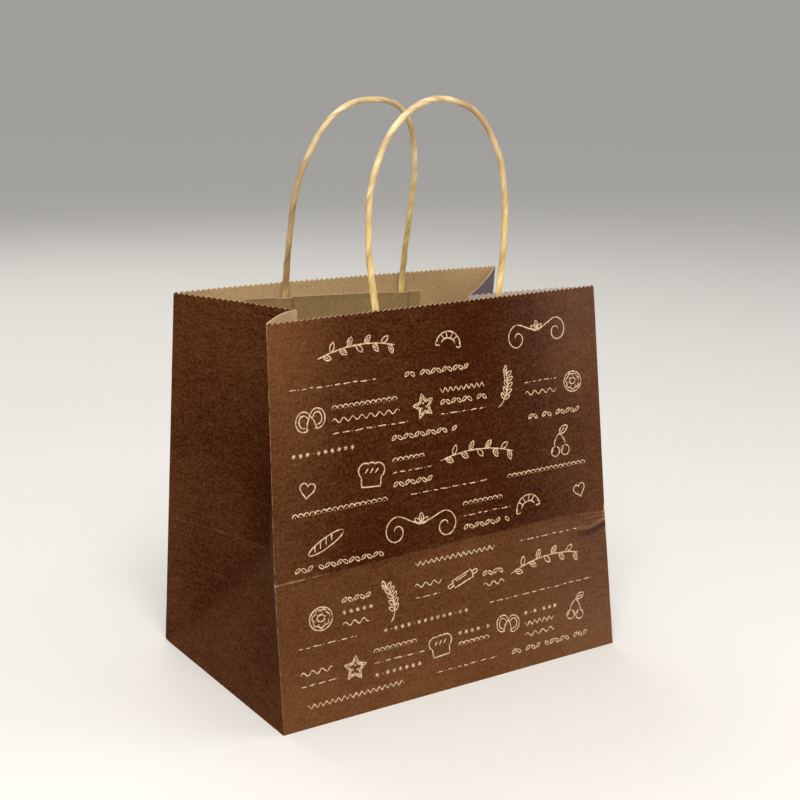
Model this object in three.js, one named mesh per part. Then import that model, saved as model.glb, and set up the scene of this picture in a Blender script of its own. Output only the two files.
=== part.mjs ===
// Paper carrier bag for bread and cakes, standing open. One folded sheet makes the block bottom,
// the four walls and the two gussets. Two twisted paper cords make the handles, and a glued patch
// holds each of them inside the mouth.
// Millimetres. X runs to the right, Y to the back, Z up. The origin is the middle of the base.
import * as THREE from 'three';

// The flat paper.
const bagWidth = 260;
const bagDepth = 170;
const creaseHeight = 92; // fold across the front, level with the points of the gussets
const wall = 0.6; // paper with the glue and folds in it, a little thicker than one plain sheet
const gap = 0.3; // between pieces that touch
const toothHeight = 1.5; // of the zigzag cut along the rim
const teethPerColumn = { panel: 6, gusset: 2 };
const columns = 11; // in each panel and each half of a gusset
const rows = 4; // from the lower fold up to the rim
const unfoldPasses = 60; // rounds that settle where the inner face meets itself at a fold
const pointGrain = 0.001; // points closer than this are one

// Where the folded corners stand, seen from above, and how much paper is below the rim there.
// Their heights follow from the paper, which doesn't stretch.
const leftPlan = {
  frontCrease: [-130.5, -76.8],
  frontRim: [-129.1, -67.4],
  backRim: [-128.4, 59.3],
  point: [-94.9, 0],
  foldRim: [-74.4, -5.1],
  paper: { front: 246.2, fold: 247.9, back: 247.4 },
};
const rightPlan = {
  frontCrease: [129.4, -71.2],
  frontRim: [130.2, -48.9],
  backRim: [131.2, 62.0],
  point: [86.7, 1.8],
  foldRim: [67.2, 7.4],
  paper: { front: 248.3, fold: 246.2, back: 246.5 },
};

// How the rim of each wall bows off the straight line between its corners: the pull of one
// curve handle, as a share of the straight line and as a distance to its side.
const straight = { along: 0.5, aside: 0 };
const leftFrontBow = { along: 0.97, aside: -11 };
const rightBackBow = { along: 0.3, aside: -5.1 };
const backBow = { along: 0.5, aside: -8 };

// The handles. Distances are measured in the plane of the handle, from the rim up.
const cord = { width: 4, thickness: 4, flatWidth: 5.4, flatThickness: 2.4, roundAbove: 28, sides: 12 };
const legDepth = 38; // how far a cord runs down under its patch
const legPath = [1, 0.6, 0.25]; // shares of that depth where its path is set
const cordSteps = 84;
const openingSteps = 4; // of the arch, from the rim to where it is widest
const crownSteps = 10; // and on from there to its top
const frontHandle = {
  centre: -2.6, // from the middle of the rim
  halfAtRim: 49,
  halfSpread: 53.6,
  springHeight: 50.8,
  height: 123.6,
  squareness: 2.13, // 2 is an ellipse
  lean: 0, // degrees, into the bag
  sway: -1.4,
};
const backHandle = {
  centre: 0.2,
  halfAtRim: 47.3,
  halfSpread: 47.3,
  springHeight: 34,
  height: 126.3,
  squareness: 2.5,
  lean: 16,
  sway: -2.9,
};

// The patches, measured on the wall from the middle of its rim.
const patchHeight = 42;
const patchThickness = 0.6;
const frontPatch = { length: 144, centre: -4, below: 10, tilt: 0.8 };
const backPatch = { length: 144, centre: -6.4, below: 11.2, tilt: 2.1 };
const channel = { halfWidth: 4.2, shoulder: 6, endLength: 8 }; // raised over each leg of a cord
const shoulderSteps = [0, 0.35, 0.7, 1];
const patchRows = [0, 8, 16, 23, 27, 30, 33, 36, patchHeight]; // closest where the channels end

const paperOutside = new THREE.MeshStandardMaterial({ color: 0x5a3322, roughness: 0.75 });
const paperPatch = new THREE.MeshStandardMaterial({ color: 0x9c7d4e, roughness: 0.8 });
const paperCord = new THREE.MeshStandardMaterial({ color: 0xc9a35a, roughness: 0.65 });

const up = new THREE.Vector3(0, 0, 1);

// The point over [x, y] that a given length of taut paper reaches from a lower point.
function reach(from, [x, y], paper) {
  const rise = Math.sqrt(paper ** 2 - (x - from.x) ** 2 - (y - from.y) ** 2);
  return new THREE.Vector3(x, y, from.z + rise);
}

// All folded corners of one side of the bag, left or right.
function foldSide(plan, x) {
  const frontBase = new THREE.Vector3(x, -bagDepth / 2, 0);
  const backBase = new THREE.Vector3(x, bagDepth / 2, 0);
  const frontCrease = reach(frontBase, plan.frontCrease, creaseHeight);
  const point = reach(backBase, plan.point, Math.hypot(bagDepth / 2, creaseHeight));
  return { ...plan, frontBase, backBase, frontCrease, point };
}

// A wall between a lower fold, from a to b, and the rim. paperA and paperB are the lengths of paper
// from the two ends of the fold up to the rim, whose ends stand over rimA and rimB.
function makeWall({ a, b, rimA, rimB, paperA, paperB, bow, teeth }) {
  const start = new THREE.Vector2(...rimA);
  const end = new THREE.Vector2(...rimB);
  const run = end.clone().sub(start);
  const side = new THREE.Vector2(-run.y, run.x).normalize();
  const pull = start.clone().addScaledVector(run, bow.along).addScaledVector(side, bow.aside);
  const rim = new THREE.QuadraticBezierCurve(start, pull, end);
  const bottomAt = (across) => a.clone().lerp(b, across);
  const paperAt = (across) => THREE.MathUtils.lerp(paperA, paperB, across);
  const rimAt = (across) => {
    const { x, y } = rim.getPointAt(across);
    return reach(bottomAt(across), [x, y], paperAt(across));
  };
  // height runs from 0 at the fold to 1 at the rim.
  const at = (across, height) => bottomAt(across).lerp(rimAt(across), height);
  return { at, bottomAt, paperAt, teeth };
}

const left = foldSide(leftPlan, -bagWidth / 2);
const right = foldSide(rightPlan, bagWidth / 2);

// The walls in order round the bag, seen from above: front, right gusset, back, left gusset.
const frontWall = makeWall({
  a: left.frontCrease,
  b: right.frontCrease,
  rimA: left.frontRim,
  rimB: right.frontRim,
  paperA: left.paper.front - creaseHeight,
  paperB: right.paper.front - creaseHeight,
  bow: straight,
  teeth: teethPerColumn.panel,
});
const rightFrontWall = makeWall({
  a: right.frontCrease,
  b: right.point,
  rimA: right.frontRim,
  rimB: right.foldRim,
  paperA: right.paper.front - creaseHeight,
  paperB: right.paper.fold - creaseHeight,
  bow: straight,
  teeth: teethPerColumn.gusset,
});
const rightBackWall = makeWall({
  a: right.point,
  b: right.backBase,
  rimA: right.foldRim,
  rimB: right.backRim,
  paperA: right.paper.fold - creaseHeight,
  paperB: right.paper.back,
  bow: rightBackBow,
  teeth: teethPerColumn.gusset,
});
const backWall = makeWall({
  a: right.backBase,
  b: left.backBase,
  rimA: right.backRim,
  rimB: left.backRim,
  paperA: right.paper.back,
  paperB: left.paper.back,
  bow: backBow,
  teeth: teethPerColumn.panel,
});
const leftBackWall = makeWall({
  a: left.backBase,
  b: left.point,
  rimA: left.backRim,
  rimB: left.foldRim,
  paperA: left.paper.back,
  paperB: left.paper.fold - creaseHeight,
  bow: straight,
  teeth: teethPerColumn.gusset,
});
const leftFrontWall = makeWall({
  a: left.point,
  b: left.frontCrease,
  rimA: left.foldRim,
  rimB: left.frontRim,
  paperA: left.paper.fold - creaseHeight,
  paperB: left.paper.front - creaseHeight,
  bow: { along: 1 - leftFrontBow.along, aside: leftFrontBow.aside },
  teeth: teethPerColumn.gusset,
});
const walls = [frontWall, rightFrontWall, rightBackWall, backWall, leftBackWall, leftFrontWall];

// A sheet of triangles whose corners are shared by place.
class Sheet {
  constructor() {
    this.points = [];
    this.faces = [];
    this.known = new Map();
  }

  index(point) {
    const key = point.toArray().map((value) => Math.round(value / pointGrain)).join(' ');
    if (!this.known.has(key)) {
      this.known.set(key, this.points.length);
      this.points.push(point.clone());
    }
    return this.known.get(key);
  }

  face(...corners) {
    const indices = corners.map((corner) => this.index(corner));
    if (new Set(indices).size === 3) this.faces.push(indices);
  }

  // Triangles between two lists of points, the lower one first, seen from outside.
  strip(lower, upper) {
    for (let i = 0; i < lower.length - 1; i += 1) {
      this.face(lower[i], lower[i + 1], upper[i + 1]);
      this.face(lower[i], upper[i + 1], upper[i]);
    }
  }

  // Edges that only one triangle has: the rim.
  openEdges() {
    const edges = new Map();
    for (const [a, b, c] of this.faces) {
      for (const [from, to] of [[a, b], [b, c], [c, a]]) edges.set(`${from} ${to}`, [from, to]);
    }
    return [...edges.values()].filter(([from, to]) => !edges.has(`${to} ${from}`));
  }

  // The same sheet moved back by a thickness: each point ends up that far behind every face it is on.
  pointsBehind(thickness) {
    const normals = this.points.map(() => []);
    for (const face of this.faces) {
      const [a, b, c] = face.map((index) => this.points[index]);
      const normal = b.clone().sub(a).cross(c.clone().sub(a)).normalize();
      for (const index of face) normals[index].push(normal);
    }
    return this.points.map((point, index) => {
      const shift = new THREE.Vector3();
      for (let pass = 0; pass < unfoldPasses; pass += 1) {
        for (const normal of normals[index]) shift.addScaledVector(normal, -(normal.dot(shift) + thickness));
      }
      return point.clone().add(shift);
    });
  }
}

// A closed solid from a sheet of outer faces and the points behind it.
function thicken(sheet, thickness) {
  const behind = sheet.pointsBehind(thickness);
  const corners = [];
  for (const [a, b, c] of sheet.faces) {
    corners.push(sheet.points[a], sheet.points[b], sheet.points[c]);
    corners.push(behind[c], behind[b], behind[a]);
  }
  for (const [from, to] of sheet.openEdges()) {
    corners.push(sheet.points[to], sheet.points[from], behind[from]);
    corners.push(sheet.points[to], behind[from], behind[to]);
  }
  return new THREE.BufferGeometry().setFromPoints(corners);
}

// The zigzag top of one column of a wall: valleys at the ends and between the teeth.
function addToothedCell(sheet, wallShape, column) {
  const { at, paperAt, teeth } = wallShape;
  const valleys = [];
  const tips = [];
  const across = (step) => (column + step / teeth) / columns;
  for (let i = 0; i <= teeth; i += 1) {
    valleys.push(at(across(i), 1 - toothHeight / 2 / paperAt(across(i))));
  }
  for (let i = 0; i < teeth; i += 1) {
    tips.push(at(across(i + 0.5), 1 + toothHeight / 2 / paperAt(across(i + 0.5))));
    sheet.face(valleys[i], valleys[i + 1], tips[i]);
  }
  const lowerLeft = at(column / columns, (rows - 1) / rows);
  const lowerRight = at((column + 1) / columns, (rows - 1) / rows);
  const middle = teeth / 2;
  for (let i = 0; i < middle; i += 1) sheet.face(lowerLeft, valleys[i + 1], valleys[i]);
  sheet.face(lowerLeft, lowerRight, valleys[middle]);
  for (let i = middle; i < teeth; i += 1) sheet.face(lowerRight, valleys[i + 1], valleys[i]);
}

function spread(count, pointAt) {
  return Array.from({ length: count + 1 }, (_, i) => pointAt(i / count));
}

function makeBag() {
  const sheet = new Sheet();
  for (const wallShape of walls) {
    for (let row = 0; row < rows - 1; row += 1) {
      const lower = spread(columns, (across) => wallShape.at(across, row / rows));
      const upper = spread(columns, (across) => wallShape.at(across, (row + 1) / rows));
      sheet.strip(lower, upper);
    }
    for (let column = 0; column < columns; column += 1) addToothedCell(sheet, wallShape, column);
  }
  const frontBase = spread(columns, (across) => left.frontBase.clone().lerp(right.frontBase, across));
  const backBase = spread(columns, (across) => left.backBase.clone().lerp(right.backBase, across));
  sheet.strip(frontBase, spread(columns, frontWall.bottomAt));
  sheet.strip(backBase, frontBase);
  // The folded triangles at the foot of each gusset fan out from the front corner of the base.
  const rightFolds = [rightFrontWall, rightBackWall];
  const leftFolds = [leftBackWall, leftFrontWall];
  for (const [corner, folds] of [[right.frontBase, rightFolds], [left.frontBase, leftFolds]]) {
    for (const fold of folds) {
      const edge = spread(columns, fold.bottomAt);
      for (let i = 0; i < columns; i += 1) sheet.face(corner, edge[i + 1], edge[i]);
    }
  }
  return new THREE.Mesh(thicken(sheet, wall), paperOutside);
}

// The frame of a panel that carries a handle. Places on it are given as a distance along the rim
// from its middle, to the right as seen from the front, a distance below the rim, and a depth
// behind the outer face.
function panelFrame(wallShape, rimStart, rimEnd) {
  const length = rimStart.distanceTo(rimEnd);
  const leftToRight = rimEnd.x > rimStart.x ? 1 : -1;
  const share = (along) => 0.5 + (leftToRight * along) / length;
  const surface = (along, below) => {
    const across = share(along);
    return wallShape.at(across, 1 - below / wallShape.paperAt(across));
  };
  const step = 0.5;
  const normal = (along, below) => {
    const sideways = surface(along + step, below).sub(surface(along - step, below));
    const upwards = surface(along, below - step).sub(surface(along, below + step));
    return sideways.cross(upwards).multiplyScalar(leftToRight).normalize();
  };
  const place = (along, below, depth) => surface(along, below).addScaledVector(normal(along, below), -depth);
  return { place, normal, leftToRight };
}

const frontPanel = panelFrame(frontWall, frontWall.at(0, 1), frontWall.at(1, 1));
const backPanel = panelFrame(backWall, backWall.at(0, 1), backWall.at(1, 1));

const cordDepth = wall + gap + cord.flatThickness / 2;

// Half of an arch as [half width, height above the rim], from the rim up to the crown.
function archOutline(handle) {
  const outline = [];
  for (let i = 0; i < openingSteps; i += 1) {
    const share = i / openingSteps;
    const opening = (handle.halfSpread - handle.halfAtRim) * Math.sin((share * Math.PI) / 2);
    outline.push([handle.halfAtRim + opening, share * handle.springHeight]);
  }
  const rise = handle.height - handle.springHeight;
  for (let i = 0; i <= crownSteps; i += 1) {
    const angle = ((i / crownSteps) * Math.PI) / 2;
    const halfWidth = handle.halfSpread * Math.max(Math.cos(angle), 0) ** (2 / handle.squareness);
    outline.push([halfWidth, handle.springHeight + rise * Math.sin(angle) ** (2 / handle.squareness)]);
  }
  return outline;
}

function handleCurve(handle, panel) {
  const leftFoot = panel.place(handle.centre - handle.halfAtRim, 0, cordDepth);
  const rightFoot = panel.place(handle.centre + handle.halfAtRim, 0, cordDepth);
  const middle = leftFoot.clone().lerp(rightFoot, 0.5);
  const sideways = rightFoot.clone().sub(leftFoot).normalize();
  const inwards = sideways.clone().cross(up).multiplyScalar(middle.y > 0 ? 1 : -1);
  const lean = THREE.MathUtils.degToRad(handle.lean);
  const upwards = up.clone().multiplyScalar(Math.cos(lean)).addScaledVector(inwards, Math.sin(lean));
  const place = (halfWidth, height) => {
    const sway = handle.sway * Math.sin((Math.PI * height) / handle.height);
    return middle.clone().addScaledVector(sideways, halfWidth + sway).addScaledVector(upwards, height);
  };
  const leg = (along) => legPath.map((share) => panel.place(along, share * legDepth, cordDepth));
  const outline = archOutline(handle);
  const leftHalf = outline.map(([halfWidth, height]) => place(-halfWidth, height));
  const rightHalf = outline.slice(0, -1).map(([halfWidth, height]) => place(halfWidth, height));
  return new THREE.CatmullRomCurve3([
    ...leg(handle.centre - handle.halfAtRim),
    ...leftHalf,
    ...rightHalf.reverse(),
    ...leg(handle.centre + handle.halfAtRim).reverse(),
  ]);
}

// A cord along the curve. It is round over most of its length, and pressed flat near the rim and
// below it, where the patch holds it against the panel.
function makeHandle(handle, panel, rimHeight) {
  const curve = handleCurve(handle, panel);
  const facing = panel.normal(handle.centre, 0);
  const rings = [];
  for (let i = 0; i <= cordSteps; i += 1) {
    const centre = curve.getPointAt(i / cordSteps);
    const tangent = curve.getTangentAt(i / cordSteps);
    const thin = facing.clone().addScaledVector(tangent, -facing.dot(tangent)).normalize();
    const wide = thin.clone().cross(tangent);
    const roundness = THREE.MathUtils.smoothstep(centre.z, rimHeight, rimHeight + cord.roundAbove);
    const width = THREE.MathUtils.lerp(cord.flatWidth, cord.width, roundness);
    const thickness = THREE.MathUtils.lerp(cord.flatThickness, cord.thickness, roundness);
    const ring = [];
    for (let side = 0; side < cord.sides; side += 1) {
      const angle = (2 * Math.PI * side) / cord.sides;
      const point = centre.clone().addScaledVector(wide, (Math.cos(angle) * width) / 2);
      ring.push(point.addScaledVector(thin, (Math.sin(angle) * thickness) / 2));
    }
    rings.push(ring);
  }
  const corners = [];
  const ends = [rings[0], rings[cordSteps]];
  const [startCentre, endCentre] = [curve.getPointAt(0), curve.getPointAt(1)];
  for (let side = 0; side < cord.sides; side += 1) {
    const next = (side + 1) % cord.sides;
    for (let i = 0; i < cordSteps; i += 1) {
      corners.push(rings[i][side], rings[i + 1][next], rings[i + 1][side]);
      corners.push(rings[i][side], rings[i][next], rings[i + 1][next]);
    }
    corners.push(startCentre, ends[0][next], ends[0][side]);
    corners.push(endCentre, ends[1][side], ends[1][next]);
  }
  return new THREE.Mesh(new THREE.BufferGeometry().setFromPoints(corners), paperCord);
}

// How far the patch stands off the wall: flat, with a soft ridge over each leg of the cord.
function ridge(along, below, handle) {
  const height = cord.flatThickness + gap;
  const offCentre = Math.abs(Math.abs(along - handle.centre) - handle.halfAtRim);
  const ridgeHalf = channel.halfWidth;
  const beside = 1 - THREE.MathUtils.smoothstep(offCentre, ridgeHalf, ridgeHalf + channel.shoulder);
  const legEnd = legDepth + gap;
  const beyond = 1 - THREE.MathUtils.smoothstep(below, legEnd, legEnd + channel.endLength);
  return height * beside * beyond;
}

function makePatch(patch, handle, panel) {
  const tilt = THREE.MathUtils.degToRad(patch.tilt);
  const halfLength = patch.length / 2;
  const stepsAcross = shoulderSteps.map((share) => channel.halfWidth + share * channel.shoulder);
  const alongs = [-halfLength, 0, halfLength];
  for (const legAlong of [handle.centre - handle.halfAtRim, handle.centre + handle.halfAtRim]) {
    for (const offset of stepsAcross) {
      alongs.push(legAlong - patch.centre - offset, legAlong - patch.centre + offset);
    }
  }
  // In order from the left, as seen from outside the bag.
  alongs.sort((first, second) => (first - second) * panel.leftToRight);
  const [leftEnd, rightEnd] = [alongs[0], alongs[alongs.length - 1]];
  const layer = (depth) => (along, down) => {
    const onPanel = patch.centre + along * Math.cos(tilt) - down * Math.sin(tilt);
    const below = patch.below + along * Math.sin(tilt) + down * Math.cos(tilt);
    return panel.place(onPanel, below, depth + ridge(onPanel, below, handle));
  };
  const outer = layer(wall + gap);
  const inner = layer(wall + gap + patchThickness);
  const sheet = new Sheet();
  const line = (face, down) => alongs.map((along) => face(along, down));
  for (let i = 0; i < patchRows.length - 1; i += 1) {
    sheet.strip(line(outer, patchRows[i + 1]), line(outer, patchRows[i]));
    sheet.strip(line(inner, patchRows[i]), line(inner, patchRows[i + 1]));
  }
  sheet.strip(line(outer, 0), line(inner, 0));
  sheet.strip(line(inner, patchHeight), line(outer, patchHeight));
  for (const [along, front, back] of [[leftEnd, inner, outer], [rightEnd, outer, inner]]) {
    sheet.strip(patchRows.map((down) => front(along, down)), patchRows.map((down) => back(along, down)));
  }
  const corners = sheet.faces.flatMap((face) => face.map((index) => sheet.points[index]));
  return new THREE.Mesh(new THREE.BufferGeometry().setFromPoints(corners), paperPatch);
}

const bag = makeBag();
bag.name = 'bag';

const frontRimHeight = frontWall.at(0.5, 1).z;
const backRimHeight = backWall.at(0.5, 1).z;

const handleFront = makeHandle(frontHandle, frontPanel, frontRimHeight);
handleFront.name = 'handle_front';

const handleBack = makeHandle(backHandle, backPanel, backRimHeight);
handleBack.name = 'handle_back';

const patchFront = makePatch(frontPatch, frontHandle, frontPanel);
patchFront.name = 'patch_front';

const patchBack = makePatch(backPatch, backHandle, backPanel);
patchBack.name = 'patch_back';

const model = new THREE.Group();
model.add(bag, handleFront, handleBack, patchFront, patchBack);

export default model;
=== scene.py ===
"""The looks of a paper carrier bag for bread and cakes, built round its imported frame.

One folded sheet of brown printed kraft makes the bag. Twisted paper cords make the handles, and a
kraft patch holds each of them inside the mouth. Lengths are in millimetres until a mesh is made.
"""
import math
import random

import bpy
import numpy as np
from mathutils import Matrix, Vector, noise


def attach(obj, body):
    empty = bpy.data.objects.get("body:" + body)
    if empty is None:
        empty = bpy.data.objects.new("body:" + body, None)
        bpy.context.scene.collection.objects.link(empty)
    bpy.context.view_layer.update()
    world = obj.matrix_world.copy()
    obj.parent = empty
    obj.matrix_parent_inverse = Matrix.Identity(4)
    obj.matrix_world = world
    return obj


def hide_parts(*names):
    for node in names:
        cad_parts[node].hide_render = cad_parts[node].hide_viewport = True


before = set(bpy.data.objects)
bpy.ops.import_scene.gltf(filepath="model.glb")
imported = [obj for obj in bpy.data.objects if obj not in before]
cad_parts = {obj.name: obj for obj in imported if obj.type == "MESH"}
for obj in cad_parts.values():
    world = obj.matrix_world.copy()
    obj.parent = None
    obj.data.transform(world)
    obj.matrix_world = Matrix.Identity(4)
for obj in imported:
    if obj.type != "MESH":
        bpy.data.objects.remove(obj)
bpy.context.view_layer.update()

MM = 0.001

# The flat paper, as in the part's source.
BAG_WIDTH = 260.0
BAG_DEPTH = 170.0
CREASE_HEIGHT = 92.0
PANEL_TEETH = 66
GUSSET_TEETH = 22

# The real sheet: thinner than the solid one, and cut in shallower teeth.
SHEET = 0.4
TOOTH_HEIGHT = 1.25

LEFT = {
    "front_crease": (-130.5, -76.8),
    "front_rim": (-129.1, -67.4),
    "back_rim": (-128.4, 59.3),
    "point": (-94.9, 0.0),
    "fold_rim": (-74.4, -5.1),
    "paper": {"front": 246.2, "fold": 247.9, "back": 247.4},
}
RIGHT = {
    "front_crease": (129.4, -71.2),
    "front_rim": (130.2, -48.9),
    "back_rim": (131.2, 62.0),
    "point": (86.7, 1.8),
    "fold_rim": (67.2, 7.4),
    "paper": {"front": 248.3, "fold": 246.2, "back": 246.5},
}
# Where a wall's rim is pulled out of straight, as a share along it, and how far inwards.
STRAIGHT = (0.5, 0.0)
LEFT_FRONT_BOW = (0.15, -5.5)
RIGHT_BACK_BOW = (0.3, -5.1)
BACK_BOW = (0.5, -8.0)

# The handles, measured in their own plane from the rim up.
CORD = {"width": 4.0, "thickness": 4.0, "flat_width": 5.4, "flat_thickness": 2.4, "round_above": 28.0}
CORD_DEPTH = 2.1  # of its middle, behind the outer face of the panel
LEG_DEPTH = 38.0
LEG_PATH = (1.0, 0.6, 0.25)
OPENING_STEPS = 4
CROWN_STEPS = 10
FRONT_HANDLE = {
    "centre": -2.6, "half_at_rim": 49.0, "half_spread": 53.6, "spring_height": 50.8,
    "height": 123.6, "squareness": 2.13, "lean": 0.0, "sway": -1.4,
}
BACK_HANDLE = {
    "centre": 0.2, "half_at_rim": 47.3, "half_spread": 47.3, "spring_height": 34.0,
    "height": 126.3, "squareness": 2.5, "lean": 16.0, "sway": -2.9,
}

# The patches, measured on the wall from the middle of its rim.
PATCH_HEIGHT = 42.0
PATCH_SHEET = 0.35
FRONT_PATCH = {"length": 144.0, "centre": -4.0, "below": 10.0, "tilt": 0.8}
BACK_PATCH = {"length": 144.0, "centre": -6.4, "below": 11.2, "tilt": 2.1}
CHANNEL = {"half_width": 3.4, "shoulder": 4.5, "end_length": 8.0}

# Where each part of the flat paper lies in its UV map, in millimetres.
FRONT_U = 0.0
RIGHT_U = BAG_WIDTH
BACK_U = BAG_WIDTH + BAG_DEPTH
LEFT_U = 2 * BAG_WIDTH + BAG_DEPTH
BASE_V = 300.0


# ---------------------------------------------------------------- camera, light and floor

CAMERA = {
    "azimuth": -33.501, "elevation": 13.394, "roll": 0.621, "lens": 62.237,
    "target": (6.64, 0.0, 171.22), "distance": 924.74,
}


def add_object(name, data):
    made = bpy.data.objects.new(name, data)
    bpy.context.scene.collection.objects.link(made)
    return made


def direction(degrees):
    """The cosine and the sine of an angle."""
    return math.cos(math.radians(degrees)), math.sin(math.radians(degrees))


def outwards(azimuth, elevation):
    """The way from the bag to something seen at these angles, where 0, 0 is straight in front."""
    (c, s), (level, rise) = direction(azimuth), direction(elevation)
    return Vector((s * level, -c * level, rise))


def add_camera():
    back = outwards(CAMERA["azimuth"], CAMERA["elevation"])
    right = Vector((*direction(CAMERA["azimuth"]), 0))
    up = back.cross(right)
    c, s = direction(CAMERA["roll"])
    place = (Vector(CAMERA["target"]) + back * CAMERA["distance"]) * MM
    camera = add_object("camera", bpy.data.cameras.new("camera"))
    camera.data.lens = CAMERA["lens"]
    camera.data.sensor_width = 36
    camera.data.clip_end = 50
    axes = (right * c + up * s, up * c - right * s, back, place)
    camera.matrix_world = Matrix([[axis[row] for axis in axes] for row in range(3)] + [[0, 0, 0, 1]])
    bpy.context.scene.camera = camera


# name, azimuth, elevation, distance from the bag, size, watts, colour
LIGHTS = (
    ("key", -30, 46, 1.7, 1.0, 32, (1.0, 0.97, 0.92)),
    ("fill", -95, 24, 2.2, 1.8, 2, (0.95, 0.97, 1.0)),
    ("side", 62, 30, 2.2, 1.6, 12, (1.0, 0.98, 0.95)),
    ("behind", 175, 42, 2.2, 1.6, 16, (1.0, 0.98, 0.95)),
)
LIGHT_AIM = Vector((0, 0, 0.15))
ROOM_COLOUR = (0.9, 0.89, 0.87, 1)
ROOM_STRENGTH = 0.55
HORIZON_COLOUR = (0.35, 0.342, 0.33, 1)  # of the far floor, so that no edge shows
FLOOR_COLOUR = (0.68, 0.665, 0.64, 1)
FLOOR_ROUGHNESS = 0.75
FLOOR_SIZE = 40.0


def add_lights():
    for name, azimuth, elevation, distance, size, watts, colour in LIGHTS:
        light = bpy.data.lights.new(name, "AREA")
        light.shape = "SQUARE"
        light.size = size
        light.energy = watts
        light.color = colour
        lamp = add_object(name, light)
        away = outwards(azimuth, elevation)
        lamp.location = LIGHT_AIM + away * distance
        lamp.rotation_euler = away.to_track_quat("Z", "Y").to_euler()


def add_room():
    world = bpy.data.worlds.new("room")
    bpy.context.scene.world = world
    world.use_nodes = True
    tree = world.node_tree
    room = tree.nodes["Background"]
    feed(room, {"Color": ROOM_COLOUR, "Strength": ROOM_STRENGTH})
    seen = put(tree, "ShaderNodeLightPath")["Is Camera Ray"]
    backdrop = put(tree, "ShaderNodeBackground", {"Color": HORIZON_COLOUR})
    both = put(tree, "ShaderNodeMixShader", {0: seen, 1: Node(room)[0], 2: backdrop[0]})
    feed(tree.nodes["World Output"], {"Surface": both[0]})
    bpy.context.scene.view_settings.view_transform = "Standard"


def add_floor():
    half = FLOOR_SIZE / 2
    corners = [(-half, -half, 0), (half, -half, 0), (half, half, 0), (-half, half, 0)]
    mesh = bpy.data.meshes.new("floor")
    mesh.from_pydata(corners, [], [(0, 1, 2, 3)])
    floor = add_object("floor", mesh)
    material, tree, shader = new_material("pale_floor")
    feed(shader, {"Base Color": FLOOR_COLOUR, "Roughness": FLOOR_ROUGHNESS})
    mesh.materials.append(material)


# ---------------------------------------------------------------- node trees written as formulas

class Wire:
    """An output in a node tree. A sum or product with it adds the node that works it out."""

    def __init__(self, socket):
        self.socket = socket
        self.tree = socket.id_data

    def math(self, operation, *others):
        is_vector = self.socket.type in ("VECTOR", "RGBA")
        kind = "ShaderNodeVectorMath" if is_vector else "ShaderNodeMath"
        return put(self.tree, kind, dict(enumerate((self, *others))), operation=operation)[0]

    def __add__(self, other):
        return self.math("ADD", other)

    def __sub__(self, other):
        return self.math("SUBTRACT", other)

    def __rsub__(self, number):
        return put(self.tree, "ShaderNodeMath", {0: number, 1: self}, operation="SUBTRACT")[0]

    def __mul__(self, other):
        return self.math("MULTIPLY", other)

    def __truediv__(self, other):
        return self.math("DIVIDE", other)

    def scaled(self, factor):
        inputs = {0: self, "Scale": factor}
        return put(self.tree, "ShaderNodeVectorMath", inputs, operation="SCALE")[0]

    def split(self):
        return put(self.tree, "ShaderNodeSeparateXYZ", {0: self})

    def ramp(self, low, high, start=0.0, end=1.0):
        """A smooth step from start to end as the value goes from low to high."""
        inputs = {"Value": self, "From Min": low, "From Max": high, "To Min": start, "To Max": end}
        return put(self.tree, "ShaderNodeMapRange", inputs, interpolation_type="SMOOTHSTEP")[0]


class Node:
    """A node whose outputs are read by their names or numbers."""

    def __init__(self, node):
        self.node = node

    def __getitem__(self, output):
        return Wire(self.node.outputs[output])


def feed(node, inputs):
    """Gives each input of a node its value, or the wire that brings it."""
    for key, value in inputs.items():
        if isinstance(value, Wire):
            value.tree.links.new(value.socket, node.inputs[key])
        else:
            node.inputs[key].default_value = value


def put(tree, kind, inputs=None, **settings):
    """A new node with its settings made and its inputs fed."""
    node = tree.nodes.new(kind)
    for name, value in settings.items():
        setattr(node, name, value)
    feed(node, inputs or {})
    return Node(node)


def blend(share, first, second):
    """The first colour where the share is 0, and the second where it is 1."""
    return put(share.tree, "ShaderNodeMix", {0: share, 6: first, 7: second}, data_type="RGBA")[2]


def grain(vector, scale, detail=2.0, roughness=0.5, output="Fac"):
    """Noise from 0 to 1, as one value or as a colour."""
    inputs = {"Vector": vector, "Scale": scale, "Detail": detail, "Roughness": roughness}
    return put(vector.tree, "ShaderNodeTexNoise", inputs)[output]


def new_group(name, kind, inputs, outputs):
    """An empty node group and its two end nodes. Each socket is given as a number or as a type."""
    tree = bpy.data.node_groups.new(name, kind)
    for way, sockets in (("INPUT", inputs), ("OUTPUT", outputs)):
        for socket_name, given in sockets.items():
            socket_type = "NodeSocket" + (given if isinstance(given, str) else "Float")
            socket = tree.interface.new_socket(socket_name, in_out=way, socket_type=socket_type)
            if not isinstance(given, str):
                socket.default_value = given
    return tree, Node(tree.nodes.new("NodeGroupInput")), tree.nodes.new("NodeGroupOutput")


# ---------------------------------------------------------------- shader groups and materials

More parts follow.
